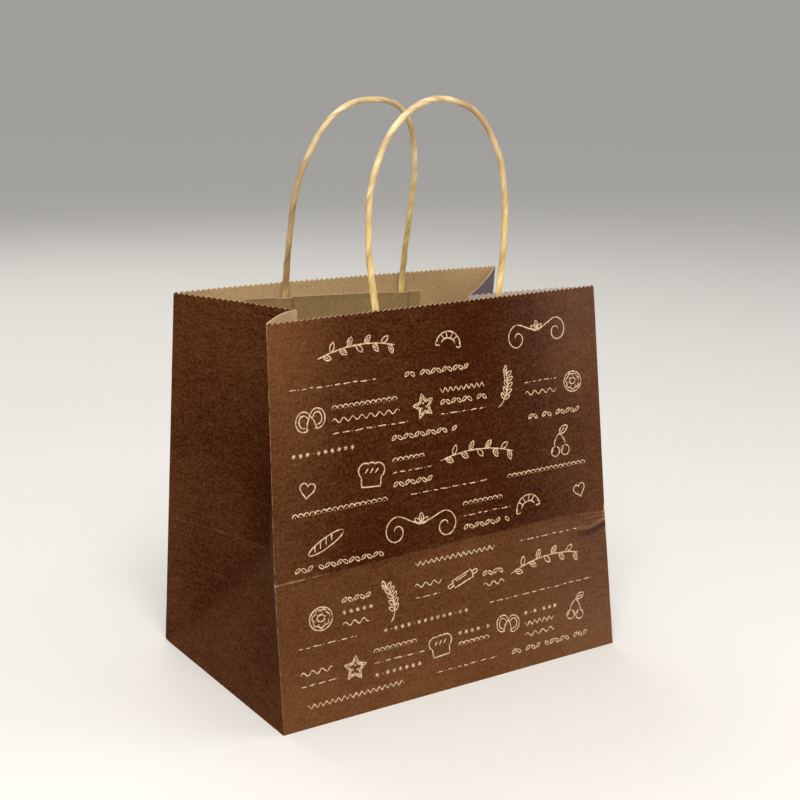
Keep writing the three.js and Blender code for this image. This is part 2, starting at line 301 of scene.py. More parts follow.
def make_fibre_group():
    """Paper fibres: clouds of uneven density, fine streaks along the sheet and pale specks."""
    outputs = dict.fromkeys(("Cloud", "Streak", "Mottle", "Fibre", "Speck", "Height"), "Float")
    inputs = {"Paper": "Vector", "Cloud Scale": 14.0, "Fibre Scale": 700.0}
    group, given, result = new_group("paper_fibres", "ShaderNodeTree", inputs, outputs)
    paper, fine = given["Paper"], given["Fibre Scale"]
    mottle = grain(paper, fine * 0.85, 3.0, 0.7)
    along = grain(paper * (0.32, 1.0, 1.0), fine * 1.8, 3.0, 0.6)
    across = grain(paper * (1.0, 0.5, 1.0), fine * 1.4, 3.0, 0.6)
    fibre = along.ramp(0.48, 0.72).math("MAXIMUM", across.ramp(0.54, 0.76))
    feed(result, {
        "Cloud": grain(paper, given["Cloud Scale"], 3.0),
        "Streak": grain(paper * (0.5, 1.0, 1.0), fine * 0.33, 4.0, 0.7),
        "Mottle": mottle,
        "Fibre": fibre,
        "Speck": grain(paper, fine * 0.6, 1.0).ramp(0.72, 0.80),
        "Height": fibre * 0.5 + mottle,
    })
    return group


def make_wear_group():
    """A mask that is 1 at an edge and fades within a width, in broken patches."""
    inputs = {
        "Distance": 10.0, "Width": 0.5, "Paper": "Vector",
        "Break Scale": 160.0, "Break Low": 0.4, "Break High": 0.6,
    }
    group, given, result = new_group("edge_wear", "ShaderNodeTree", inputs, {"Mask": "Float"})
    near = (given["Distance"] / given["Width"]).ramp(0.35, 1.0, 1.0, 0.0)
    patchy = grain(given["Paper"], given["Break Scale"], 3.0, 0.7)
    feed(result, {"Mask": near * patchy.ramp(given["Break Low"], given["Break High"])})
    return group


def new_material(name):
    material = bpy.data.materials.new(name)
    material.use_nodes = True
    tree = material.node_tree
    return material, tree, tree.nodes["Principled BSDF"]


def finish(shader, colour, roughness, gloss, height=None, strength=0.0, distance=0.0):
    """The shader's colour, roughness and gloss, and the bumps of a height."""
    feed(shader, {"Base Color": colour, "Roughness": roughness, "Specular IOR Level": gloss})
    if height is not None:
        inputs = {"Height": height, "Strength": strength, "Distance": distance}
        feed(shader, {"Normal": put(height.tree, "ShaderNodeBump", inputs)["Normal"]})


def read(tree, name, output="Fac"):
    return put(tree, "ShaderNodeAttribute", attribute_name=name)[output]


def flat_paper(tree):
    return put(tree, "ShaderNodeUVMap", uv_map="paper")["UV"]


def fibres_on(paper, fibres, cloud_scale, fibre_scale):
    inputs = {"Paper": paper, "Cloud Scale": cloud_scale, "Fibre Scale": fibre_scale}
    return put(paper.tree, "ShaderNodeGroup", inputs, node_tree=fibres)


DENSE_PRINT = (0.029, 0.0042, 0.0, 1)
THIN_PRINT = (0.138, 0.0565, 0.0195, 1)
SHEEN_ON_PRINT = (0.17, 0.16, 0.19, 1)
FIBRE_IN_PRINT = (0.15, 0.062, 0.014, 1)
SPECK_IN_PRINT = (0.26, 0.14, 0.07, 1)
PRESSED_PRINT = (0.20, 0.105, 0.055, 1)
WORN_AND_LIT_PRINT = (0.40, 0.235, 0.135, 1)
CUT_PRINT = (0.36, 0.235, 0.135, 1)


def make_printed_material(fibres, wear):
    """The brown print on the outside: fine fibre mottling, pale wear on folds and at the cut rim, and the
    painted sheen, highlights and shade that the mesh's attributes carry.
    """
    material, tree, shader = new_material("printed_brown_paper")
    paper = flat_paper(tree)
    fibre = fibres_on(paper, fibres, 16.0, 620.0)

    def wear_mask(distance, width, scale, low, high):
        return put(tree, "ShaderNodeGroup", {
            "Distance": distance, "Width": width, "Paper": paper,
            "Break Scale": scale, "Break Low": low, "Break High": high,
        }, node_tree=wear)["Mask"]

    cloud = (fibre["Cloud"] - 0.5) * 0.45
    streak = (fibre["Streak"] - 0.5) * 0.7
    mottle = (fibre["Mottle"] - 0.5) * 1.5
    # Lighter where the print is thin and where painted sheen and highlight are added, darker where
    # painted shade is.
    thin = read(tree, "thinness_and_light") + mottle + (cloud + streak) + 0.12
    colour = blend(put(tree, "ShaderNodeClamp", {"Value": thin})[0], DENSE_PRINT, THIN_PRINT)
    # Painted sheen and reflection: a greyer cast where the attribute says.
    colour = blend(read(tree, "painted_light"), colour, SHEEN_ON_PRINT)
    colour = blend(fibre["Fibre"] * 0.16, colour, FIBRE_IN_PRINT)
    colour = blend(fibre["Speck"] * 0.3, colour, SPECK_IN_PRINT)
    # The fold across the front is pressed on round the bag, and shows on the gussets' back halves.
    flat = paper.split()
    off_crease = (flat["Y"] - CREASE_HEIGHT * MM).math("ABSOLUTE") * (1 / MM)
    pressed = wear_mask(off_crease, 0.6, 70.0, 0.3, 0.65)
    for middle in (RIGHT_U + 0.75 * BAG_DEPTH, LEFT_U + 0.25 * BAG_DEPTH):
        off_middle = (flat["X"] - middle * MM).math("ABSOLUTE")
        inside = off_middle.math("LESS_THAN", BAG_DEPTH / 4 * MM)
        colour = blend(inside * pressed * 0.25, colour, PRESSED_PRINT)
    folded = wear_mask(read(tree, "fold_mm"), 0.62, 120.0, 0.36, 0.62)
    colour = blend(folded * read(tree, "wear_and_highlight"), colour, WORN_AND_LIT_PRINT)
    colour = blend(wear_mask(read(tree, "rim_mm"), 0.38, 500.0, 0.3, 0.6), colour, CUT_PRINT)
    rough = fibre["Mottle"].ramp(0.3, 0.7, 0.5, 0.66)
    finish(shader, colour, rough, 0.03, fibre["Height"], 0.45, 0.00012)
    return material


RIM_KRAFT = (0.62, 0.47, 0.30, 1)
LIT_KRAFT_LEFT = (0.65, 0.465, 0.25, 1)
LIT_KRAFT_RIGHT = (0.41, 0.415, 0.43, 1)


def make_kraft_material(name, fibres, deep, pale, scale=520.0, rim_glow=0.0):
    """Plain kraft paper, with its fibres and specks."""
    material, tree, shader = new_material(name)
    fibre = fibres_on(flat_paper(tree), fibres, 11.0, scale)
    darker = [channel * 0.62 for channel in deep] + [1]
    paler = [min(channel * 1.3, 1.0) for channel in pale] + [1]
    colour = blend(fibre["Cloud"].ramp(0.3, 0.7), (*deep, 1), (*pale, 1))
    colour = blend(fibre["Mottle"].ramp(0.42, 0.68) * 0.38, colour, darker)
    colour = blend(fibre["Fibre"] * 0.3, colour, paler)
    if rim_glow:
        colour = blend(read(tree, "rim_mm").ramp(0.2, 0.9, rim_glow, 0.0), colour, RIM_KRAFT)
        # Painted light: paler kraft beside the front corners of the rim, greyer on the right.
        right_half = put(tree, "ShaderNodeTexCoord")["Object"].split()["X"].ramp(-0.02, 0.02)
        lit_kraft = blend(right_half, LIT_KRAFT_LEFT, LIT_KRAFT_RIGHT)
        colour = blend(read(tree, "painted_light"), colour, lit_kraft)
    rough = fibre["Mottle"].ramp(0.3, 0.7, 0.68, 0.85)
    finish(shader, colour, rough, 0.3, fibre["Height"], 0.4, 0.00015)
    return material


GOLDEN_CORD = ((0.44, 0.285, 0.10, 1), (0.65, 0.48, 0.175, 1))
CREAMY_CORD = ((0.46, 0.315, 0.15, 1), (0.66, 0.53, 0.295, 1))
PALE_STREAK = (0.80, 0.68, 0.41, 1)
DEEP_STREAK = (0.33, 0.20, 0.08, 1)
SEAM_BROWN = (0.23, 0.13, 0.05, 1)
SHADED_SHOULDER = (0.25, 0.13, 0.05, 1)
SHADED_LEG = (0.25, 0.13, 0.06, 1)


def make_cord_material():
    """Golden paper that is twisted: streaks and wrinkles run along the turns, dark in the seam."""
    material, tree, shader = new_material("twisted_golden_paper")
    twist = read(tree, "twist", "Vector")
    place = put(tree, "ShaderNodeTexCoord")["Object"].split()
    x, y, height = place["X"], place["Y"], place["Z"]
    streak = grain(twist * (1.0, 1.0, 0.1), 900.0, 3.0, 0.6)
    cloudy = grain(twist * (0.5, 0.5, 0.5), 110.0).ramp(0.35, 0.68)
    golden, creamy = (blend(cloudy, *colours) for colours in (GOLDEN_CORD, CREAMY_CORD))
    colour = blend(height.ramp(0.285, 0.345), golden, creamy)
    colour = blend(streak.ramp(0.5, 0.75) * 0.5, colour, PALE_STREAK)
    colour = blend(streak.ramp(0.5, 0.28) * 0.45, colour, DEEP_STREAK)
    colour = blend(read(tree, "seam").ramp(0.0, 0.05, 0.5, 0.0), colour, SEAM_BROWN)
    # Painted shade on the right shoulders of both crowns, turned away from the light.
    shaded_right_shoulder = x.ramp(0.002, 0.014) * height.ramp(0.335, 0.350)
    colour = blend(shaded_right_shoulder * 0.5, colour, SHADED_SHOULDER)
    # Painted shade on the lower part of the back handle's left leg.
    shaded_back_left_leg = x.ramp(0.0, -0.02) * height.ramp(0.34, 0.315) * y.ramp(0.0, 0.01)
    colour = blend(shaded_back_left_leg * 0.5, colour, SHADED_LEG)
    finish(shader, colour, streak.ramp(0.3, 0.7, 0.42, 0.6), 0.45, streak, 0.5, 0.0002)
    return material


THIN_INK = (0.34, 0.215, 0.115, 1)
FULL_INK = (0.63, 0.455, 0.29, 1)


def make_ink_material():
    """The pale ink of the drawings: thin in places, so that the brown shows through a little."""
    material, tree, shader = new_material("pale_ink")
    density = grain(put(tree, "ShaderNodeTexCoord")["Object"], 520.0, 3.0, 0.65)
    colour = blend(density.ramp(0.36, 0.6), THIN_INK, FULL_INK)
    finish(shader, colour, density.ramp(0.3, 0.7, 0.7, 0.55), 0.35)
    return material


# ---------------------------------------------------------------- the shape of the folded paper

def reach(start, plan, paper):
    """The points over plan that the given lengths of taut paper reach from their starts."""
    across = plan - start[..., :2]
    rise = np.sqrt(paper ** 2 - (across ** 2).sum(-1))
    return np.concatenate([plan, (start[..., 2] + rise)[..., None]], -1)


def fold_side(plan, x):
    """One side of the bag, with the corners of its base and the places of its folds."""
    front_base = np.array([x, -BAG_DEPTH / 2, 0.0])
    back_base = np.array([x, BAG_DEPTH / 2, 0.0])
    crease = reach(front_base, np.array(plan["front_crease"]), CREASE_HEIGHT)
    tip = reach(back_base, np.array(plan["point"]), math.hypot(BAG_DEPTH / 2, CREASE_HEIGHT))
    return {**plan, "front_base": front_base, "back_base": back_base, "crease": crease, "tip": tip}


left = fold_side(LEFT, -BAG_WIDTH / 2)
right = fold_side(RIGHT, BAG_WIDTH / 2)


class Post:
    """A fold between two walls: its lower end, its place at the rim, its length and its flat place."""

    def __init__(self, side, low, name, u, v):
        self.low = side[low]
        self.rim = np.array(side[name + "_rim"])
        self.paper = side["paper"][name] - v
        self.u, self.v = u, v


def between(start, end, share):
    return start + (end - start) * share


class Wall:
    """A wall between two posts. across runs from 0 to 1, height is in millimetres."""

    def __init__(self, start, end, bow, teeth):
        self.start, self.end = start, end
        self.teeth = teeth
        self.width = end.u - start.u
        run = end.rim - start.rim
        side = np.array([-run[1], run[0]]) / np.linalg.norm(run)
        pull = start.rim + run * bow[0] + side * bow[1]
        t = np.linspace(0, 1, 401)[:, None]
        self.plan = (1 - t) ** 2 * start.rim + 2 * t * (1 - t) * pull + t ** 2 * end.rim
        steps = np.linalg.norm(np.diff(self.plan, axis=0), axis=1)
        self.share = np.concatenate([[0], np.cumsum(steps)]) / steps.sum()

    def bottom(self, across):
        return between(self.start.low, self.end.low, np.asarray(across, float)[..., None])

    def paper(self, across):
        return between(self.start.paper, self.end.paper, np.asarray(across, float))

    def at(self, across, height):
        across = np.asarray(across, float)
        plan = np.stack([np.interp(across, self.share, self.plan[:, k]) for k in (0, 1)], -1)
        low = self.bottom(across)
        top = reach(low, plan, self.paper(across))
        return between(low, top, (height / self.paper(across))[..., None])

    def flat(self, across, height):
        """Where that place lies on the flat paper."""
        across = np.asarray(across, float)
        v = between(self.start.v, self.end.v, across) + height
        return np.stack([between(self.start.u, self.end.u, across), v], -1)


def make_walls():
    """The walls from the front round to the right, each between two posts."""
    half = BAG_DEPTH / 2
    posts = (
        Post(left, "crease", "front", FRONT_U, CREASE_HEIGHT),
        Post(right, "crease", "front", RIGHT_U, CREASE_HEIGHT),
        Post(right, "tip", "fold", RIGHT_U + half, CREASE_HEIGHT),
        Post(right, "back_base", "back", BACK_U, 0),
        Post(left, "back_base", "back", LEFT_U, 0),
        Post(left, "tip", "fold", LEFT_U + half, CREASE_HEIGHT),
        Post(left, "crease", "front", LEFT_U + BAG_DEPTH, CREASE_HEIGHT),
    )
    spans = (
        ("front", STRAIGHT, PANEL_TEETH),
        ("right_front", STRAIGHT, GUSSET_TEETH),
        ("right_back", RIGHT_BACK_BOW, GUSSET_TEETH),
        ("back", BACK_BOW, PANEL_TEETH),
        ("left_back", STRAIGHT, GUSSET_TEETH),
        ("left_front", LEFT_FRONT_BOW, GUSSET_TEETH),
    )
    return {
        name: Wall(start, end, bow, teeth)
        for (name, bow, teeth), start, end in zip(spans, posts, posts[1:])
    }


walls = make_walls()

NEAR_FOLD = np.array([0.35, 0.8, 1.5])  # extra lines of points beside every fold
NEAR_RIM = np.array([2.6, 1.7, 1.15])  # and below the rim
WALL_ROWS = 42
CROWDING = 1.35  # draws the rows above the crease towards it, where the paper is crumpled
FOOT_ROWS = 18
CRUMPLE_ROWS = 18
CRUMPLE_DEPTH = 15.0  # how far the dense rows reach below the crease
FAR = 10.0  # a distance that counts as away from any edge
KEY_SHIFT = 0.00013  # keeps round numbers off the borders where rounding could part equal points


def columns_of(wall):
    """Shares across a wall: every tip and valley of the zigzag, and lines close to its folds."""
    zigzag = np.arange(2 * wall.teeth + 1) / (2 * wall.teeth)
    near = NEAR_FOLD / wall.width
    return np.unique(np.round(np.concatenate([zigzag, near, 1 - near]), 9))


def zigzag_at(wall, across):
    """Height of the cut edge over the middle of the teeth: valleys at both ends."""
    phase = np.abs((across * wall.teeth) % 1.0 - 0.5)
    return TOOTH_HEIGHT * (0.5 - 2 * phase)


def heights_of(wall, across):
    """Rows of heights at each share across, dense at the fold and below the rim."""
    paper = wall.paper(across)
    low = NEAR_FOLD[-1] + 1.0
    high = paper - NEAR_RIM[0] - 3.0
    rows = [np.zeros_like(paper)] + [np.full_like(paper, value) for value in NEAR_FOLD]
    rows += [between(low, high, share ** CROWDING) for share in np.linspace(0, 1, WALL_ROWS)]
    rows += [paper - value for value in NEAR_RIM]
    rows += [paper - 0.35 + 0.62 * zigzag_at(wall, across), paper + zigzag_at(wall, across)]
    return np.array(rows)


def quads_of(shape):
    """The four corners of every cell of a grid of rows by columns, as point numbers."""
    index = np.arange(shape[0] * shape[1]).reshape(shape)
    corners = [index[:-1, :-1], index[:-1, 1:], index[1:, 1:], index[1:, :-1]]
    return np.stack(corners, -1).reshape(-1, 4)


class Grids:
    """The outer face of the paper, grid by grid, with the same points shared along the folds."""

    def __init__(self):
        self.points, self.uvs, self.fold, self.rim, self.faces = [], [], [], [], []
        self.count = 0

    def add(self, points, uvs, fold, rim, outward=True):
        """A grid of rows by columns. Seen from outside, columns run to the right and rows go up."""
        shape = points.shape[:2]
        quads = self.count + quads_of(shape)
        self.points.append(points.reshape(-1, 3))
        self.uvs.append(uvs.reshape(-1, 2))
        self.fold.append(np.broadcast_to(fold, shape).reshape(-1))
        self.rim.append(np.broadcast_to(rim, shape).reshape(-1))
        self.faces.append(quads if outward else quads[:, ::-1])
        self.count += shape[0] * shape[1]

    def joined(self):
        """Points merged by place, each with its distances, and triangles with their UVs and grid."""
        points = np.concatenate(self.points)
        keys = np.round(points + KEY_SHIFT, 3)
        _, first, merged = np.unique(keys, axis=0, return_index=True, return_inverse=True)
        merged = merged.reshape(-1)
        fold = np.full(len(first), FAR)
        rim = np.full(len(first), FAR)
        np.minimum.at(fold, merged, np.concatenate(self.fold))
        np.minimum.at(rim, merged, np.concatenate(self.rim))
        quads = np.concatenate(self.faces)
        grid = np.repeat(np.arange(len(self.faces)), [len(faces) for faces in self.faces])
        triangles = np.concatenate([quads[:, [0, 1, 2]], quads[:, [0, 2, 3]]])
        solid = merged[triangles]
        a, b, c = solid.T
        kept = (a != b) & (b != c) & (c != a)
        uvs = np.concatenate(self.uvs)[triangles[kept]]
        return points[first], solid[kept], uvs, fold, rim, np.tile(grid, 2)[kept]


def foot_shares():
    """Rows of the foot, as shares of the way from the front edge of the base."""
    near = NEAR_FOLD / CREASE_HEIGHT
    first, last = 2.5 * near[-1], 1 - 1.5 * near[-1]
    crumpled = 1 - CRUMPLE_DEPTH / CREASE_HEIGHT
    plain = np.linspace(first, crumpled, FOOT_ROWS, endpoint=False)
    dense = np.linspace(crumpled, last, CRUMPLE_ROWS)
    return np.concatenate([[0], near, plain, dense, 1 - near[::-1], [1]])


def crease_drift(x):
    """How far above the fold's ideal place the crease across the front runs."""
    return np.interp(x, (-130, 92, 104, 129), (0.0, 4.0, 2.4, 0.8))


def off_line(points, start, end):
    """How far each point lies from the line through two places."""
    along = (end - start) / np.linalg.norm(end - start)
    return np.linalg.norm(np.cross(points - start, along), axis=-1)


def add_walls(grids):
    for name, wall in walls.items():
        across = columns_of(wall)
        heights = heights_of(wall, across)
        shares = np.broadcast_to(across, heights.shape)
        fold = np.minimum(np.minimum(across, 1 - across) * wall.width, FAR)
        drift = crease_drift((across - 0.5) * BAG_WIDTH) if name == "front" else 0
        fold = np.minimum(fold, np.abs(heights - drift))
        rim = np.minimum(wall.paper(across) + zigzag_at(wall, across) - heights, FAR)
        grids.add(wall.at(shares, heights), wall.flat(shares, heights), fold, np.maximum(rim, 0))


def add_foot(grids, shares):
    """The strip of the front below the crease, and the base behind it."""
    across = columns_of(walls["front"])
    side = np.minimum(across, 1 - across) * BAG_WIDTH
    front_edge = between(left["front_base"], right["front_base"], across[:, None])
    back_edge = between(left["back_base"], right["back_base"], across[:, None])
    crease = walls["front"].bottom(across)
    drift = crease_drift((across - 0.5) * BAG_WIDTH)
    for end, length, rise, base_v, outward in (
        (crease, CREASE_HEIGHT, drift, 0.0, True),
        (back_edge, BAG_DEPTH, 0.0, BASE_V, False),
    ):
        level = shares * length + 0 * across
        fold = np.minimum(np.minimum(level, length + rise - level), side)
        uvs = np.stack([FRONT_U + BAG_WIDTH * across + 0 * level, base_v + level], -1)
        grids.add(between(front_edge, end, shares[..., None]), uvs, fold, FAR, outward)


def add_slants(grids, shares):
    """The triangles between the corners of the base and the lower folds of the gussets."""
    for corner, corner_u, names in (
        (right["front_base"], RIGHT_U, ("right_front", "right_back")),
        (left["front_base"], LEFT_U + BAG_DEPTH, ("left_back", "left_front")),
    ):
        for name in names:
            wall = walls[name]
            across = columns_of(wall)
            edge, flat = wall.bottom(across), wall.flat(across, np.zeros_like(across))
            points = between(corner, edge, shares[..., None])
            uvs = between(np.array([corner_u, 0.0]), flat, shares[..., None])
            folds = ((corner, edge[0]), (corner, edge[-1]), (edge[0], edge[-1]))
            fold = np.min([off_line(points, start, end) for start, end in folds], axis=0)
            grids.add(points, uvs, np.minimum(fold, FAR), FAR)


def build_grids():
    grids = Grids()
    shares = foot_shares()[:, None]
    add_walls(grids)
    add_foot(grids, shares)
    add_slants(grids, shares)
    return grids.joined()


def vertex_normals(points, triangles):
    a, b, c = (points[triangles[:, k]] for k in range(3))
    face = np.cross(b - a, c - a)
    normals = np.zeros_like(points)
    for k in range(3):
        np.add.at(normals, triangles[:, k], face)
    return normals / np.maximum(np.linalg.norm(normals, axis=1, keepdims=True), 1e-12)


# ---------------------------------------------------------------- buckles, crumple, wear, and painted sheen, highlights and shade

def smooth(value, low, high):
    """A smooth step from 0 at low to 1 at high."""
    share = np.clip((value - low) / (high - low), 0, 1)
    return share * share * (3 - 2 * share)


def bell(distance, width):
    """1 at no distance, falling to about a third at the width."""
    return np.exp(-(distance / width) ** 2)


def waves(points, size, seed):
    """Soft noise between -1 and 1 at each point, with waves of about the given size."""
    shift = Vector((seed * 7.1, seed * 3.7, seed * 5.3))
    return np.array([noise.noise(Vector(p) / size + shift) for p in points])


def line_distance(x, z, path):
    """Distance in the plane of the front from each point to a path of straight pieces."""
    best = np.full(len(x), 1e9)
    for (x0, z0), (x1, z1) in zip(path, path[1:]):
        run = (x1 - x0) ** 2 + (z1 - z0) ** 2
        share = np.clip(((x - x0) * (x1 - x0) + (z - z0) * (z1 - z0)) / run, 0, 1)
        best = np.minimum(best, np.hypot(x - between(x0, x1, share), z - between(z0, z1, share)))
    return best


# The height and the length of the sheet's waves. The buckles die out towards the folds.
BUCKLES = ((0.62, 78.0), (0.20, 26.0))
FINE_WAVES = (0.045, 8.0)
# The ridges of the crumple at the right end of the crease: x and z of places on the front.
CRUMPLE = (
    ((103.5, 84.3), (115.0, 83.5), (119.5, 85.0), (127.0, 87.0), (129.6, 88.2)),
    ((103.0, 94.0), (112.0, 93.5), (120.0, 93.0), (128.5, 92.4)),
    ((111.0, 90.5), (119.0, 90.0), (128.5, 90.0)),
)
CRUMPLE_HEIGHTS = (0.8, 0.35, 0.3)
CRUMPLE_WIDTH = 1.3
CRUMPLE_HOLLOWS = ((0.55, 88.0, 1.3), (0.65, 79.5, 3.0))  # depth, z and width
CRUMPLE_START = (98, 112)  # x where it begins, and where it is full
CORNER_LIFT = 0.8  # of the back left corner of the base, off the surface
BASE_HOLLOW = 0.34  # how far the middle of the base is off the surface
FRONT_BEHIND = -38.1  # every place of the front has a smaller y
RIDGE_LEVEL = 91.3
CREASE_RIDGE = (0.26, 0.7)  # height and width
CREASE_DIP = (0.20, 2.2, 2.9)  # depth, width and how far it lies above the ridge


def relief(points, fold):
    """How far the paper stands out of its ideal place: soft buckles, the crease and its crumple."""
    x, y, z = points.T
    free = smooth(fold, 0.0, 9.0)
    out = np.zeros(len(points))
    for seed, (height, length) in enumerate(BUCKLES, 1):
        out += height * waves(points, length, seed) * free
    height, length = FINE_WAVES
    out += height * waves(points, length, 3)
    out *= smooth(z, 0.0, 14.0)
    front = y < FRONT_BEHIND
    above = z - RIDGE_LEVEL - crease_drift(x)
    height, width = CREASE_RIDGE
    out += front * height * bell(above, width)
    depth, width, higher = CREASE_DIP
    out -= front * depth * bell(above - higher, width)
    crumpled = front * smooth(130.2 - x, 0.6, 2.6) * smooth(x, *CRUMPLE_START)
    for path, height in zip(CRUMPLE, CRUMPLE_HEIGHTS):
        out += crumpled * height * bell(line_distance(x, z, path), CRUMPLE_WIDTH)
    for depth, level, width in CRUMPLE_HOLLOWS:
        out -= crumpled * depth * bell(z - level, width)
    return out


def crumple_distance(points):
    """How far each point lies from the nearest ridge of the crumple, and 10 mm off the front."""
    x, y, z = points.T
    nearest = np.min([line_distance(x, z, path) for path in CRUMPLE], axis=0)
    return np.where(y < -40, nearest, FAR)


def wear_and_highlight_share(points):
    """Where folds are rubbed pale: the front edges and corners more than the rest. Along the crease and
    the crumple's ridges the pale is partly wear and partly painted highlight.
    """
    x, y, z = points.T
    edge_left = smooth(-x, 126, 129) * smooth(-y, 55, 66)
    corner = edge_left * smooth(z, 236, 245)
    # The crease and the crumple's ridges: pale wear together with painted highlight.
    crease = (y < -40) * bell(z - 91.4 - crease_drift(x), 3.0)
    ends = smooth(-x, 96, 128) + 0.5 * smooth(x, 96, 128)
    crumple = smooth(x, 98, 114) * bell(crumple_distance(points), 2.0)
    value = 0.10 + 0.30 * edge_left + 0.7 * corner + crease * (0.12 + 0.4 * ends) + 0.85 * crumple
    slant = smooth(130 - np.abs(x), 1.5, 4) * (y > -76) * smooth(100 - z, 0, 6)
    return np.clip(value * smooth(z, 2, 20) * (1 - 0.9 * slant) + 0.04, 0, 1)


# Painted sheen that makes the front's upper corners lighter, as if thinner printed: x, z, how much and
# how wide.
SHEEN_CORNERS = ((-128, 238, 0.36, 60), (128, 232, 0.16, 65))
# Painted shade under the crumple's lowest ridge, as denser print: how far under it, how much and how
# wide.
SHADE_UNDER_RIDGE = ((4.2, 0.30, 2.0), (2.9, 0.12, 1.0))
PRINT_LINE = 91.2  # where the dense print above the crease ends, and the lighter tone below, partly painted sheen, begins


def front_thinness_and_light(x, z):
    """Darker above the crease, lighter below it and towards the edges and upper corners: partly uneven
    print, partly painted sheen. The crumple has pale lines, partly worn print and partly painted
    highlight, and painted shade under its lowest ridge.
    """
    # Lighter towards the edges, the upper corners and below the crease: partly uneven print, partly
    # painted sheen.
    edge = smooth(np.abs(x), 60, 130)
    upper = -0.04 + 0.29 * edge
    for corner_x, corner_z, strength, width in SHEEN_CORNERS:
        upper += strength * bell(np.hypot(x - corner_x, z - corner_z), width)
    lower = 0.38 + 0.05 * smooth(x, -60, 100) + (0.22 + 0.12 * edge) * smooth(60 - z, 0, 55)
    crumpled = smooth(x, *CRUMPLE_START)
    lowest, top, middle = (line_distance(x, z, path) for path in CRUMPLE)
    # Pale lines on the crumple's ridges: partly worn print, partly painted highlight.
    lower += crumpled * (0.55 * bell(lowest, 1.2) + 0.16 * bell(middle, 1.2))
    # Painted shade under the crumple's lowest ridge.
    for under, strength, width in SHADE_UNDER_RIDGE:
        lower -= crumpled * strength * bell(line_distance(x, z + under, CRUMPLE[0]), width)
    line_level = PRINT_LINE + crease_drift(x)
    lower -= 0.06 * bell(z - line_level + 1.9, 1.2)
    # A painted highlight, partly worn print, along the crumple's ridge at the crease.
    upper += crumpled * 0.3 * bell(top, 0.7)
    return between(lower, upper, smooth(z, line_level - 0.7, line_level + 0.7))


def side_thinness_and_shade(points):
    """On the gussets: darker on the slanting folds and deep in the left one's middle fold, as painted
    shade of these valleys.
    """
    x, y, z = points.T
    side = 0.10 + 0.02 * smooth(z, 150, 240) + 0.06 * smooth(60 - z, 0, 55)
    side += 0.08 * smooth(y, 45, 80)
    # Painted shade deep in the left gusset's middle fold, where little light reaches.
    folded_half = walls["left_front"]
    middle_top = folded_half.at(0.0, folded_half.paper(0.0))
    slot = smooth(z, 80, 100) * smooth(185 - z, 0, 80)
    side -= 0.25 * (x < 0) * slot * bell(off_line(points, left["tip"], middle_top), 20)
    # Painted shade along the slanting folds' valleys.
    for fold in (left, right):
        side -= 0.12 * bell(off_line(points, fold["back_base"], fold["tip"]), 9.0)
    return side


def print_thinness_and_light(points, normals):
    """How thin the print is by place, which lets the paper through, together with painted sheen,
    highlights and shade.
    """
    x, y, z = points.T
    back = 0.12 + 0.2 * smooth(np.abs(x), 60, 130) + 0.15 * smooth(60 - z, 0, 55)
    on_side = np.abs(normals[:, 0]) > 0.6
    return np.where(on_side, side_thinness_and_shade(points), np.where(y < 0, front_thinness_and_light(x, z), back))


def sheen_painted_outside(points, normals):
    """Painted sheen: a greyer, paler cast on the right of the front, and a painted reflection on the
    right gusset's back at its top.
    """
    x, z = points[:, 0], points[:, 2]
    foot = smooth(91 + crease_drift(x) - z, 0, 4)
    most = 0.022 + 0.043 * bell(z - 240, 45) + 0.028 * foot
    front = most * smooth(x, 20, 125) * (normals[:, 1] < -0.8)
    gusset = 0.5 * (normals[:, 0] > 0.4) * (normals[:, 1] < -0.3) * smooth(z, 205, 238)
    return front + gusset


def light_painted_inside(points, normals):
    """Painted light: the bare kraft made paler beside both front corners of the rim."""
    facing_back = (normals[:, 1] > 0.3) * smooth(points[:, 2], 222, 240)
    return facing_back * (0.6 * (normals[:, 0] > 0.4) + 0.85 * (normals[:, 0] < -0.4))


# ---------------------------------------------------------------- the sheet with its two faces

def behind(points, triangles, grid, thickness):
    """Each point moved back until it lies that far behind every grid that it belongs to."""
    total = np.zeros((len(points), 3, 3))
    side = np.zeros_like(points)
    count = np.zeros(len(points))
    for number in np.unique(grid):
        own = triangles[grid == number]
        used = np.unique(own)
        normals = vertex_normals(points, own)[used]
        total[used] += np.einsum("ij,ik->ijk", normals, normals)
        side[used] += normals
        count[used] += 1
    total /= count[:, None, None]
    side /= count[:, None]
    steady = 0.01
    shift = np.linalg.solve(total + steady * np.eye(3), -thickness * side[..., None])[..., 0]
    return points + shift


def open_edges(triangles):
    edges = np.concatenate([triangles[:, [0, 1]], triangles[:, [1, 2]], triangles[:, [2, 0]]]).tolist()
    known = set(map(tuple, edges))
    return [(a, b) for a, b in edges if (b, a) not in known]


def make_mesh(name, points, faces, slots, materials, uvs, attributes=None, sharp=25.0):
    """A mesh in metres from points in millimetres, with smooth faces that are sharp at folds."""
    mesh = bpy.data.meshes.new(name)
    mesh.from_pydata((np.asarray(points) * MM).tolist(), [], [list(map(int, face)) for face in faces])
    for material in materials:
        mesh.materials.append(material)
    mesh.polygons.foreach_set("material_index", np.asarray(slots, np.int32))
    layer = mesh.uv_layers.new(name="paper")
    layer.data.foreach_set("uv", (np.asarray(uvs, np.float32) * MM).ravel())
    for key, values in (attributes or {}).items():
        layer = mesh.attributes.new(key, "FLOAT", "POINT")
        layer.data.foreach_set("value", np.asarray(values, np.float32))
    mesh.polygons.foreach_set("use_smooth", [True] * len(mesh.polygons))
    mesh.set_sharp_from_angle(angle=math.radians(sharp))
    mesh.validate()
    mesh.update()
    return add_object(name, mesh)


